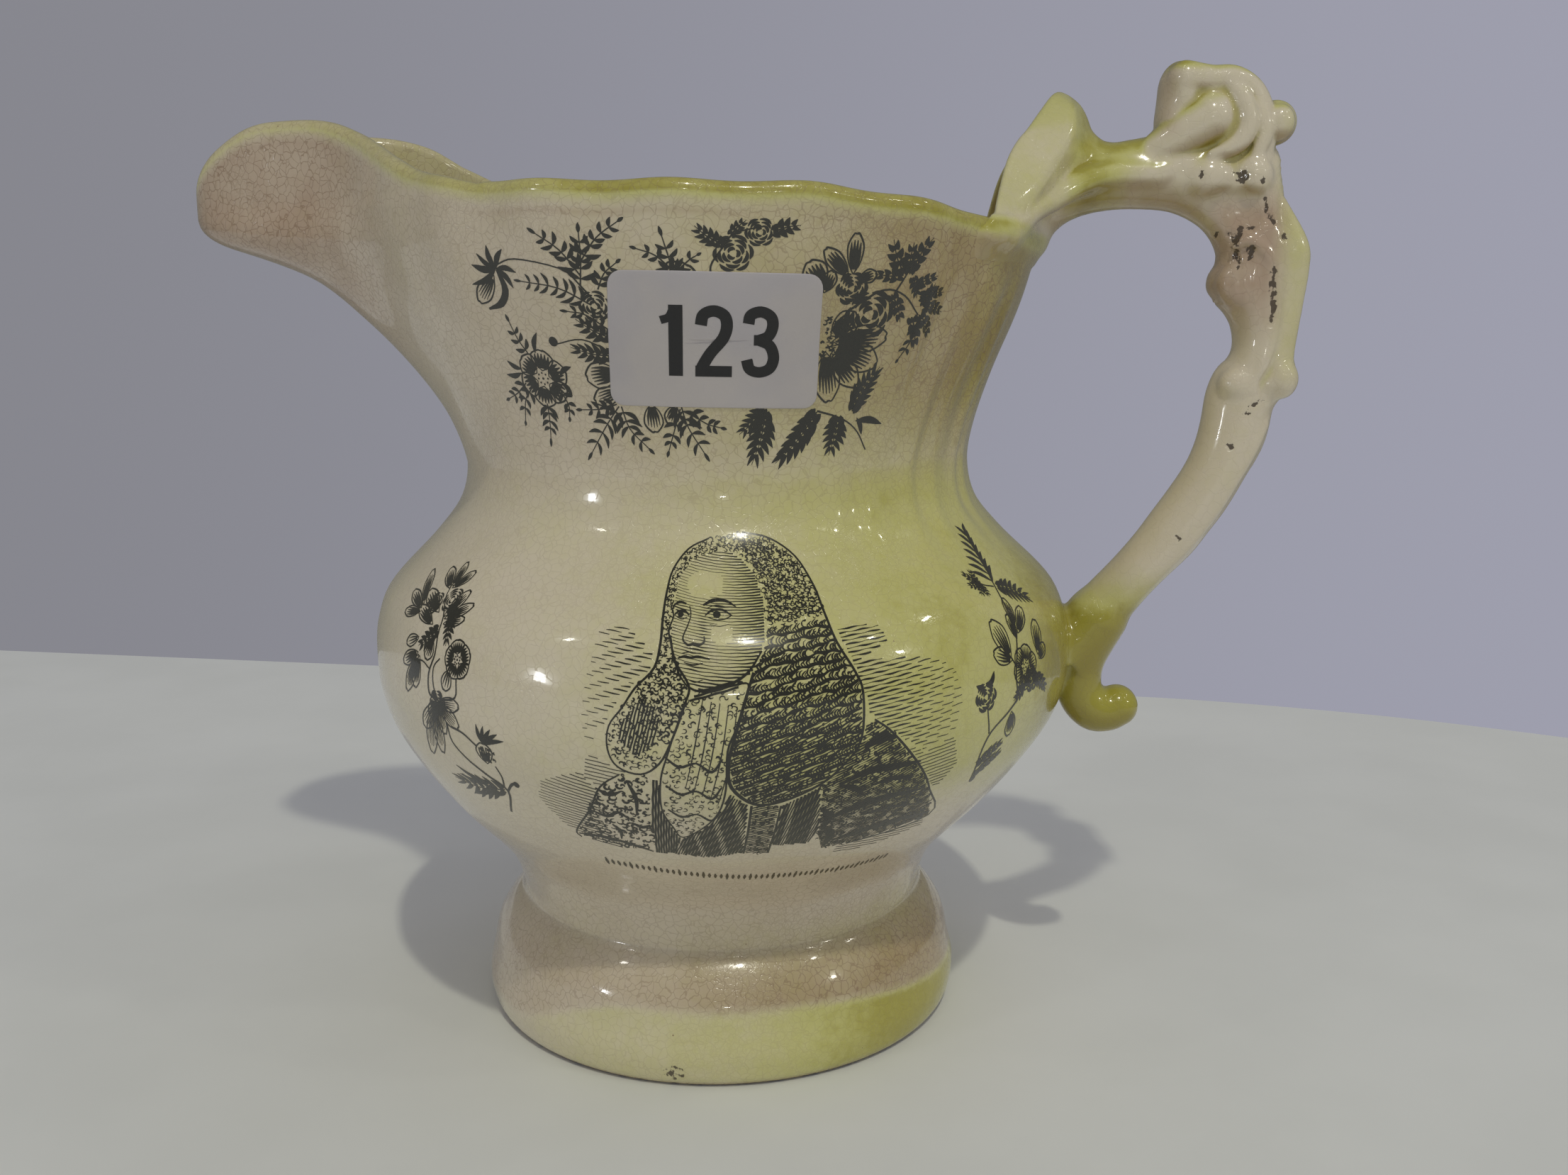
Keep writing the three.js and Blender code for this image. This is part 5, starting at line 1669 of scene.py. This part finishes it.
right_arm = [(15.6, -14.1), (19, -9), (19.8, -6), (21.4, -5.6), (25.3, -8.7), (33.2, -17.4), (37.8, -23.6),
             (43.6, -32.8), (22.9, -36.8), (16.8, -37.2), (14.4, -33), (12.2, -18.3)]
draw(dress, right_arm[3:9], [0.35, 0.5, 0.4, 0.5])
curls(dress, right_arm, 0.95, 1.6, 0.42, 0.9)
curls(dress, right_arm, 0.45, 1.25, 0.3, 0.6)
hatch(dress, right_arm, brocade, 24, 0.5)
for points, heavy in (
    ([(19.6, -10.6), (22.6, -9.2), (25.8, -9.4)], 1.3),
    ([(15.6, -18.2), (21, -15.8), (27, -15.6), (32.4, -15.4)], 1.1),
    ([(15.6, -18.4), (19, -19.4), (21.4, -21.6)], 0.9),
    ([(14.9, -27.4), (20.4, -24.8), (27, -23.2), (35.4, -22.8)], 1.4),
    ([(18.6, -34.9), (26, -32.8), (34, -31.6), (42.8, -31.4)], 1.1),
    ([(15.2, -30), (17.6, -32.6), (17.2, -36.6)], 1.4),
    ([(13.6, -24), (15.4, -27), (15, -31)], 1.2), ([(22.5, -19.2), (27, -18.4), (31.4, -19)], 0.7),
    ([(22.8, -27.6), (29, -26.6), (36, -27.2)], 0.6),
):
    draw(dress, points, [0.4, heavy * 1.5, heavy * 1.4, 0.4])
portrait_dress = ribbons("portrait_dress_print", dress, belly_sheet)

# %% [markdown]
# Short level strokes on both sides set the figure off from the empty clay, and a rule of small beads
# closes the print below. The strokes on the left and on the right fade outwards.

# %% Ground strokes and beaded rule
ground = []


def left_fade(x, y):
    """Strokes beside the wig on the left: broken up, and thinner outwards."""
    return (0.12 + 0.2 * ease(-32.6, -22, x)) * (0.65 + 0.5 * np.sin(x * 1.9 + y * 5.1))


def right_fade(x, y):
    """The same on the right, and darker."""
    return (0.42 - 0.26 * ease(22, 41, x)) * (0.7 + 0.45 * np.sin(x * 1.7 - y * 4.3))


hatch(ground, [(-29.4, 13.2), (-24, 12.4), (-18.4, 7.9), (-18.8, 5), (-22.4, 1.4), (-25, -1.5),
               (-28, -6), (-31.6, -12), (-32.4, -4), (-31, 4)], left_fade, -7, 0.8, step=0.45)
hatch(ground, [(-24, -14.6), (-31.4, -11), (-33, -16), (-30, -18.4)], 0.2, -10, 0.8, step=0.6)
hatch(ground, [(-33, -15), (-42, -18), (-44.5, -23), (-41, -30), (-34, -35.4), (-28.4, -36), (-31, -27),
               (-29.6, -20)], lambda x, y: 0.1 + 0.16 * ease(-44, -30, x), -14, 0.8, step=0.55)
hatch(ground, [(16, 11.3), (20, 12.4), (25, 11.6), (26.4, 8.6), (19.6, 5.4), (28.9, 5), (35, 4.4),
               (39.8, 1.7), (41, -4), (39.7, -10.4), (33, -13.4), (28, -10.4), (25.8, -8.8), (20.4, -4.4),
               (19.4, -0.5), (18.4, 3.1)], right_fade, 6, 0.75, step=0.45)
hatch(ground, [(26.4, -9.4), (33, -13.6), (39.6, -11), (42.4, -18), (38.8, -24)], 0.2, 8, 0.8, step=0.6)
hatch(ground, [(20, -37.6), (30, -36.2), (43, -33.4), (44, -36), (30, -39.4), (20, -40)],
      0.18, -2, 0.8, step=0.6)
rule_points = [(-34.7, -41.8), (-25.4, -43.2), (-13, -45.1), (0, -46.6), (17.3, -47.4), (29, -47.6),
               (40.5, -46.6)]
rule_line = smooth_path(rule_points, 30)
lengths = np.concatenate([[0], np.cumsum(np.linalg.norm(np.diff(rule_line, axis=0), axis=1))])
bead_gap = 1.5
for number, at in enumerate(np.arange(0.5, lengths[-1], bead_gap)):
    bead = np.array([np.interp(at, lengths, rule_line[:, k]) for k in (0, 1)])
    tall = 0.95 if number % 4 else 1.35
    draw(ground, [bead - (0, tall), bead, bead + (0, tall)], [0.3, 0.85, 0.3])
portrait_ground = ribbons("portrait_ground_print", ground, belly_sheet)

# %% [markdown]
# Two smaller sprays stand at the sides of the belly, as if cut from the same garden. The left one starts
# under a full bloom and hangs down to a toothed leaf, the right one climbs towards the handle. The same
# strokes of the hand draw both.

# %% Left spray
left_sheet = sheet_at(50, 84, print_girth)
flowers = []
draw(flowers, [(3, -2), (0.8, -1), (0.6, 2.6), (2.1, 6.4), (2, 10.4), (1.6, 14), (-1.6, 18), (-2.7, 21)],
     [0.55, 0.4, 0.25])
draw(flowers, [(4.2, -2.4), (2.4, 0.4), (2.2, 4), (4, 6)], [0.4, 0.3])
draw(flowers, [(0.6, 3.6), (-1.9, 4.6), (-5, 4.4)], [0.3, 0.3])
for base, tip, wide in (
    ((-8, 15), (-15.8, 22.6), 2.6), ((-8, 14.4), (-16.6, 17), 2.6), ((-7.6, 13.6), (-14.6, 12.6), 2.4),
    ((-2.6, 20), (-8.2, 24.4), 2.8), ((-2, 20.6), (-3.4, 26.4), 2.6), ((-1.8, 20.2), (2.2, 24.8), 2.6),
    ((1.8, 14), (5, 20.4), 3), ((2.2, 13.6), (8.6, 17.6), 2.6), ((2.6, 12.6), (8.2, 14.4), 2.2),
    ((-0.6, 14.6), (-9.4, 18.4), 3.2), ((-0.8, 12), (-8.6, 14.6), 2.8),
):
    petal(flowers, base, tip, wide, 0.85, 4)
rose(flowers, (1.2, 17.8), 2.6, 0.9)
rose(flowers, (-4.2, 16.2), 2.4, 0.9)
toothed_leaf(flowers, (4.4, 14.2), (5.2, 8.6), 3.2, 5, 0.9)
toothed_leaf(flowers, (1.6, 11.4), (-4.4, 7.2), 3.8, 5, 1.05)
for part in (
    ((0.6, 9.6), (-0.6, 5.2), 3.2, 0.7, 4), ((-4.6, 8.8), (-9.4, 7), 2.4, 0.4, 3),
    ((-3.2, 5.4), (-4.8, -0.9), 3.2, 0.95, 5), ((-3.6, 5.6), (-8.4, -2.2), 3.2, 0.95, 5),
    ((-4, 6), (-9.8, 3.2), 2.8, 0.8, 4),
):
    petal(flowers, *part)
open_flower(flowers, (9.4, 6.6), 3.7, 5, 0.8, 0.5)
petal(flowers, (7.4, 4.4), (6, 0.4), 3, 0.4, 3)
draw(flowers, [(4.8, -1.8), (9.2, -0.6), (9.6, 3)], [0.4, 0.35])
for tip, wide in (((-2.6, -8.6), 3.4), ((-3.4, -14.6), 3.4), ((1.4, -13.4), 3.2), ((4.6, -8.6), 3.2),
                  ((9.4, -6.4), 3.2), ((10, -2.2), 2.8), ((0.6, -5.6), 3)):
    petal(flowers, (3.8, -2.4), tip, wide, 0.42, 5)
rose(flowers, (3.6, -2.6), 2.3, 1.25)
draw(flowers, [(6.2, -6.4), (6.4, -10), (9.4, -13), (13.9, -15.8), (18.4, -19.2), (15.6, -25.9)],
     [0.35, 0.4, 0.6, 0.5])
draw(flowers, [(7.4, -6.6), (10.6, -7.4), (13.6, -9.4)], [0.5, 0.4])
draw(flowers, [(18.4, -19.2), (20.4, -17), (22, -16.6)], [0.5, 0.8])
blot(flowers, (21.6, -16.8), 0.75)
draw(flowers, [(17.6, -13.2), (18.4, -15.6), (17.8, -18.6)], [0.3, 0.45])
curls(flowers, [(13.9, -9), (17.6, -9), (18.6, -11), (17, -13), (14.6, -12)], 0.45, 0.8, 0.34)
petal(flowers, (15.6, -13), (15.4, -8.6), 4.2, 0.6, 5)
for tip in ((14.6, -4.8), (16.4, -4.9), (18.2, -5.3), (19.8, -6), (21.2, -7.2)):
    blade(flowers, (15.8, -8.8), tip, 1, 0.05)
toothed_leaf(flowers, (17.6, -19), (1.4, -19.8), 6.4, 7, 0.6)
for tip in ((4.6, -15.8), (4.4, -18), (5.6, -23.2), (9.2, -22.6), (12.8, -21.8)):
    blade(flowers, (14.6, -18), tip, 1.1, 0.08)
left_spray = ribbons("left_spray_print", flowers, left_sheet)

# %% Right spray
right_sheet = sheet_at(147, 88, print_girth)
buds = []
draw(buds, [(-9.2, -24.2), (-10.6, -17.6), (-9.2, -12.8), (-4.4, -9.3), (-2, -7), (-2.2, -2), (0.4, 4.6),
            (1.2, 10.8), (3.2, 16), (6.4, 21), (8.6, 25.6)], [0.5, 0.45, 0.35])
for number in range(7):
    share = number / 6
    root = (3.6 + 5.6 * share, 16.4 + 10.4 * share)
    blade(buds, root, (root[0] + 4.6 - 2.2 * share, root[1] + 3.6), 1.3, 0.1)
    blade(buds, root, (root[0] - 4.8 + 2.4 * share, root[1] + 3.4), 1.2, -0.1)
draw(buds, [(2.4, 15.4), (-0.4, 16.2), (-1.6, 17)], [0.35, 0.3])
for tip in ((-4.6, 20.2), (-5.8, 17), (-4, 14.2), (-1.8, 13.6), (-1.2, 20.4)):
    toothed_leaf(buds, (-1.8, 16.8), tip, 1.9, 4, 0.9)
toothed_leaf(buds, (3.6, 15.2), (13.4, 10.4), 5.6, 7, 0.85)
for part in (
    ((0.6, 6.2), (2.2, 12.4), 2.6, 0.9, 4), ((1.2, 5), (6.4, 9.6), 3, 0.8, 4),
    ((0.4, 4), (-0.4, 9), 2.4, 0.8, 4), ((-3.2, 0.8), (-6.4, 8.6), 4.6, 0.5, 5),
    ((-3, 0.4), (-8.4, 2.6), 3.4, 0.5, 4),
):
    petal(buds, *part)
draw(buds, [(-2, -1), (-3.2, 1)], [0.35, 0.3])
petal(buds, (7.2, -0.4), (9.6, 6.2), 4, 0.6, 4)
petal(buds, (7.4, -1.2), (11, 1), 2.8, 0.6, 4)
open_flower(buds, (1.6, -1.8), 4.4, 6, 0.45, 0.2)
rose(buds, (3.4, -4.4), 2.4, 1.25)
toothed_leaf(buds, (4.4, -4.2), (10.8, -8.2), 3, 5, 1)
toothed_leaf(buds, (0.4, -4.8), (-3.2, -7.6), 2.6, 4, 1.1)
draw(buds, [(-9.8, -13), (-11, -9.4), (-11.7, -6.4)], [0.35, 0.3])
rose(buds, (-12, -5.2), 2.7, 1.2)
blade(buds, (-12.2, -3), (-9.4, -0.6), 1.3, -0.2)
blade(buds, (-12.8, -3), (-14.8, -2.6), 1, 0.1)
petal(buds, (-3.6, -9.6), (-2.4, -15), 3.2, 0.9, 5)
toothed_leaf(buds, (-10.4, -20), (-3.8, -16), 2.6, 5, 0.95)
toothed_leaf(buds, (-9.2, -23), (-2.8, -18.4), 2.4, 5, 0.95)
blot(buds, (-8.6, -24.2), 0.85)
right_spray = ribbons("right_spray_print", buds, right_sheet)

# %% [markdown]
# The ink is a dark olive black under the same glaze. It is a little uneven, because tissue never
# presses down everywhere, and that unevenness shows as gloss rather than as colour.

# %% Ink material
transfer_ink, tree, shader = new_material("transfer_ink")
shader["Base Color"].default_value = (0.022, 0.022, 0.015, 1)
grain = node(tree, "TexNoise", {"Vector": place_in_mm(tree), "Scale": 0.8, "Detail": 2.0})
feed(tree, shader, {"Roughness": sums(tree, "MULTIPLY_ADD", grain.outputs[0], 0.2, 0.15)})
set_gloss(shader)
prints = [neck_spray, portrait_head, portrait_dress, portrait_ground, left_spray, right_spray]
for piece in prints:
    piece.data.materials.append(transfer_ink)
print("printed pieces", len(prints))

# %% [markdown]
# A paper label sticks to the neck, bent round it. It is a card made of nested rounded outlines, with an
# edge that turns down to the glaze. Its number is a plain generic one, in a bold narrow print.

# %% Paper label
label_tilt = np.radians(-1.2)
label_width, label_height, label_corner = 38.1, 25.4, 2.6
label_lift, label_number_lift = 0.22, 0.035
card_points = 160


def card_outline(width, height, corner, shrink):
    """A rounded rectangle with evenly spread points, drawn in by shrink millimetres."""
    half_w, half_h, radius = width / 2 - shrink, height / 2 - shrink, max(corner - shrink, 0.15)
    points = []
    for k, (sx, sy) in enumerate(((1, 1), (-1, 1), (-1, -1), (1, -1))):
        turns = np.radians(np.linspace(0, 90, 7) + 90 * k)
        middle = np.array([sx * (half_w - radius), sy * (half_h - radius)])
        points += [middle + radius * np.array([np.cos(turn), np.sin(turn)]) for turn in turns]
    points = np.array(points + points[:1])
    length = np.concatenate([[0], np.cumsum(np.linalg.norm(np.diff(points, axis=0), axis=1))])
    even = np.linspace(0, length[-1], card_points + 1)[:-1]
    return np.stack([np.interp(even, length, points[:, k]) for k in (0, 1)], -1)


def tilted(points):
    """Points turned as the label is, which was stuck on by hand."""
    cos, sin = np.cos(label_tilt), np.sin(label_tilt)
    right, up = points[..., 0], points[..., 1]
    return np.stack([right * cos - up * sin, right * sin + up * cos], -1)


label_sheet = sheet_at(98, 149)
rims = [(0, -0.02), (0, label_lift * 0.6), (0.08, label_lift * 0.93), (0.2, label_lift)]
rims += [(shrink, label_lift) for shrink in np.linspace(1.0, 12.3, 12)]
label_rings = [
    laid_on_jug(label_sheet, *tilted(card_outline(label_width, label_height, label_corner, shrink)).T, lift)
    for shrink, lift in rims
]
label_faces = sew(len(rims), card_points).tolist()
label_faces.append(list(range((len(rims) - 1) * card_points, len(rims) * card_points)))
label_faces.append(list(range(card_points))[::-1])
label = mesh_object("number_label", np.array(label_rings).reshape(-1, 3), label_faces)
print("label", label_width, "by", label_height, "mm")

# %% Number on the label
one_flag = smooth_path([(-9.4, 3.9), (-7.9, 4.5), (-7.1, 6.2)], 5)
one_stem = np.linspace((-6.75, 6.75), (-6.75, -6.6), 12)
two_bow = smooth_path([(-2.35, 3.1), (-1.9, 5.0), (-0.1, 5.75), (1.75, 4.9), (2.2, 2.9), (1.5, 0.6),
                       (-0.6, -2.1), (-2.0, -4.6), (-2.25, -5.5)], 5)
two_base = np.linspace((-3.3, -5.6), (3.2, -5.6), 8)
three_top = smooth_path([(6.0, 3.5), (6.4, 5.1), (8.2, 5.75), (9.9, 4.9), (10.3, 3.2), (9.6, 1.3),
                         (7.9, 0.45)], 5)
three_bottom = smooth_path([(7.9, 0.45), (9.8, -0.5), (10.6, -2.7), (10, -4.8), (8.2, -5.65), (6.4, -5.1),
                            (5.8, -3.3)], 5)
three_waist = np.linspace((7.0, 0.45), (8.9, 0.45), 5)
digits = [
    np.column_stack([tilted(path), np.full(len(path), width)])
    for path, width in ((one_flag, 1.5), (one_stem, 2.5), (two_bow, 2.1), (two_base, 2.1), (three_top, 2.05),
                        (three_bottom, 2.05), (three_waist, 2.0))
]
label_number = ribbons("label_number", digits, label_sheet, lift=label_lift + label_number_lift,
                       keel=label_lift - 0.06)

# %% [markdown]
# Old label paper isn't white: handling has greyed it, and it has yellowed in patches. One noise tints it
# slowly, a fine one gives its fibres. The number is a matt black print, a little uneven in its gloss.

# %% Paper and its print
paper, tree, shader = new_material("label_paper")
place = place_in_mm(tree)
fibre = node(tree, "TexNoise", {"Vector": place, "Scale": 2.2, "Detail": 4.0})
yellowing = node(tree, "TexNoise", {"Vector": place, "Scale": 0.06, "Detail": 3.0})
old_paper, yellowed_paper, fibre_grey = (0.52, 0.49, 0.49, 1), (0.57, 0.53, 0.50, 1), (0.42, 0.40, 0.38, 1)
tint = mixed(tree, step_up(tree, yellowing.outputs[0], 0.35, 0.65), old_paper, yellowed_paper)
tint = mixed(tree, sums(tree, "MULTIPLY", fibre.outputs[0], 0.12), tint, fibre_grey)
feed(tree, shader, {"Base Color": tint, "Normal": bumped(tree, fibre.outputs[0], 0.00003),
                    "Roughness": sums(tree, "MULTIPLY_ADD", fibre.outputs[0], 0.2, 0.45)})
label.data.materials.append(paper)
print_black, tree, shader = new_material("label_black")
shader["Base Color"].default_value = (0.02, 0.02, 0.021, 1)
toner = node(tree, "TexNoise", {"Vector": place_in_mm(tree), "Scale": 1.5, "Detail": 3.0})
feed(tree, shader, {"Roughness": sums(tree, "MULTIPLY_ADD", toner.outputs[0], 0.25, 0.4)})
label_number.data.materials.append(print_black)
print("label materials", paper.name, print_black.name)

# %% [markdown]
# The jug stands on a plain pale table with a rounded end, in front of plain grey-lilac air.
# A world colour is used instead of a wall, so that the camera may walk all the way round.

# %% Floor
table_thickness, table_bevel = 30, 1.5
rounded_end = [(900, -500), (840, -180), (660, 20), (450, 140), (330, 203), (255, 238), (200, 256),
               (140, 268), (60, 273)]
table_outline = [(-900, -1500), (900, -1500)] + smooth_path(rounded_end, 6).tolist()
table_outline += [(-201, 287.5), (-900, 327)]
sides = len(table_outline)
levels = [[(x, y, z) for x, y in table_outline] for z in (-table_thickness, -table_bevel)]
levels.append([(x * 0.998, y * 0.998, 0) for x, y in table_outline])
slab_faces = sew(len(levels), sides).tolist()
slab_faces.append(list(range(sides))[::-1])
slab_faces.append(list(range(2 * sides, 3 * sides)))
floor = mesh_object("floor", np.array(levels).reshape(-1, 3), slab_faces, smooth=False)
pale, tree, shader = new_material("pale_table")
weave = node(tree, "TexNoise", {"Vector": place_in_mm(tree), "Scale": 0.02, "Detail": 6.0})
cloth_dark, cloth_light = (0.77, 0.785, 0.725, 1), (0.80, 0.815, 0.755, 1)
tint = mixed(tree, step_up(tree, weave.outputs[0], 0.3, 0.7), cloth_dark, cloth_light)
feed(tree, shader, {"Base Color": tint, "Normal": bumped(tree, weave.outputs[0], 0.0005)})
shader["Roughness"].default_value = 0.9
shader["Specular IOR Level"].default_value = 0.1
floor.data.materials.append(pale)
print("table with", sides, "corners")

# %% [markdown]
# One lamp high in front, a little to the right, throws the shadow behind the jug, and a weaker, larger one
# at the same place softens the shadow's edge. A window-like panel stands far to the left, and small lamps
# to the right. Their mirror images on the glaze are the small bright marks that tell the eye it is glass.
# The world gives the rest of the light.

# %% Lights
world = bpy.data.worlds.new("air")
bpy.context.scene.world = world
world.use_nodes = True
air = world.node_tree
way_out = node(air, "TexCoord").outputs["Generated"]
to_side = node(air, "SeparateXYZ", {0: way_out}).outputs["X"]
dim, bright, mirrored_air = (0.235, 0.235, 0.262, 1), (0.348, 0.35, 0.425, 1), (0.17, 0.168, 0.15, 1)
seen = mixed(air, step_up(air, to_side, -0.75, 0.55), dim, bright)
mirrored = node(air, "LightPath").outputs["Is Glossy Ray"]
air.links.new(mixed(air, mirrored, seen, mirrored_air), air.nodes["Background"].inputs["Color"])
air.nodes["Background"].inputs["Strength"].default_value = 1.0
bpy.context.scene.view_settings.view_transform = "Standard"


def lamp(name, towards, distance, size, power, color):
    """A panel of light that looks at the jug's middle from a compass direction and a height angle."""
    bearing, climb = np.radians(towards)
    way = np.array([np.sin(bearing) * np.cos(climb), -np.cos(bearing) * np.cos(climb), np.sin(climb)])
    data = bpy.data.lights.new(name, "AREA")
    data.shape = "RECTANGLE"
    data.size, data.size_y = size[0] * MM, size[1] * MM
    data.energy = power
    data.color = color
    light = bpy.data.objects.new(name, data)
    bpy.context.scene.collection.objects.link(light)
    middle = Vector((axis_x, 0, 0.1))
    light.location = middle + Vector(way * distance * MM)
    light.rotation_euler = Vector(way).to_track_quat("Z", "Y").to_euler()


key_color, warm_white = (1.0, 0.98, 0.84), (1.0, 0.98, 0.9)
lamp("key_lamp", (18, 57), 3000, (80, 100), 17.0, key_color)
lamp("key_glow", (18, 57), 3000, (230, 330), 3.0, key_color)
lamp("low_front", (11, 9), 1500, (70, 12), 0.25, warm_white)
lamp("window_left", (-48, 8), 1300, (90, 130), 0.9, (0.95, 0.97, 1.0))
lamp("lamp_right", (68, 24), 1300, (60, 60), 0.5, (1.0, 0.98, 0.85))
lamp("high_left", (-52, 42), 1500, (60, 80), 0.35, warm_white)
lamp("high_right", (68, 46), 1500, (60, 50), 0.35, (1.0, 0.98, 0.88))
lamp("far_right", (100, 44), 1500, (110, 30), 0.35, (1.0, 0.98, 0.88))
print("lights", [light.name for light in bpy.data.lights])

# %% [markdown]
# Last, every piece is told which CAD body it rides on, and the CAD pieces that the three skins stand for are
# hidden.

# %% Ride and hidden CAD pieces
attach(jug, "root")
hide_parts("body", "spout", "foot")
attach(handle, "root")
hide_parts("handle", "thumb_leaf", "crest_scroll", "tail_curl")
for piece in prints:
    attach(piece, "root")
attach(label, "root")
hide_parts("lot_label")
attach(label_number, "root")
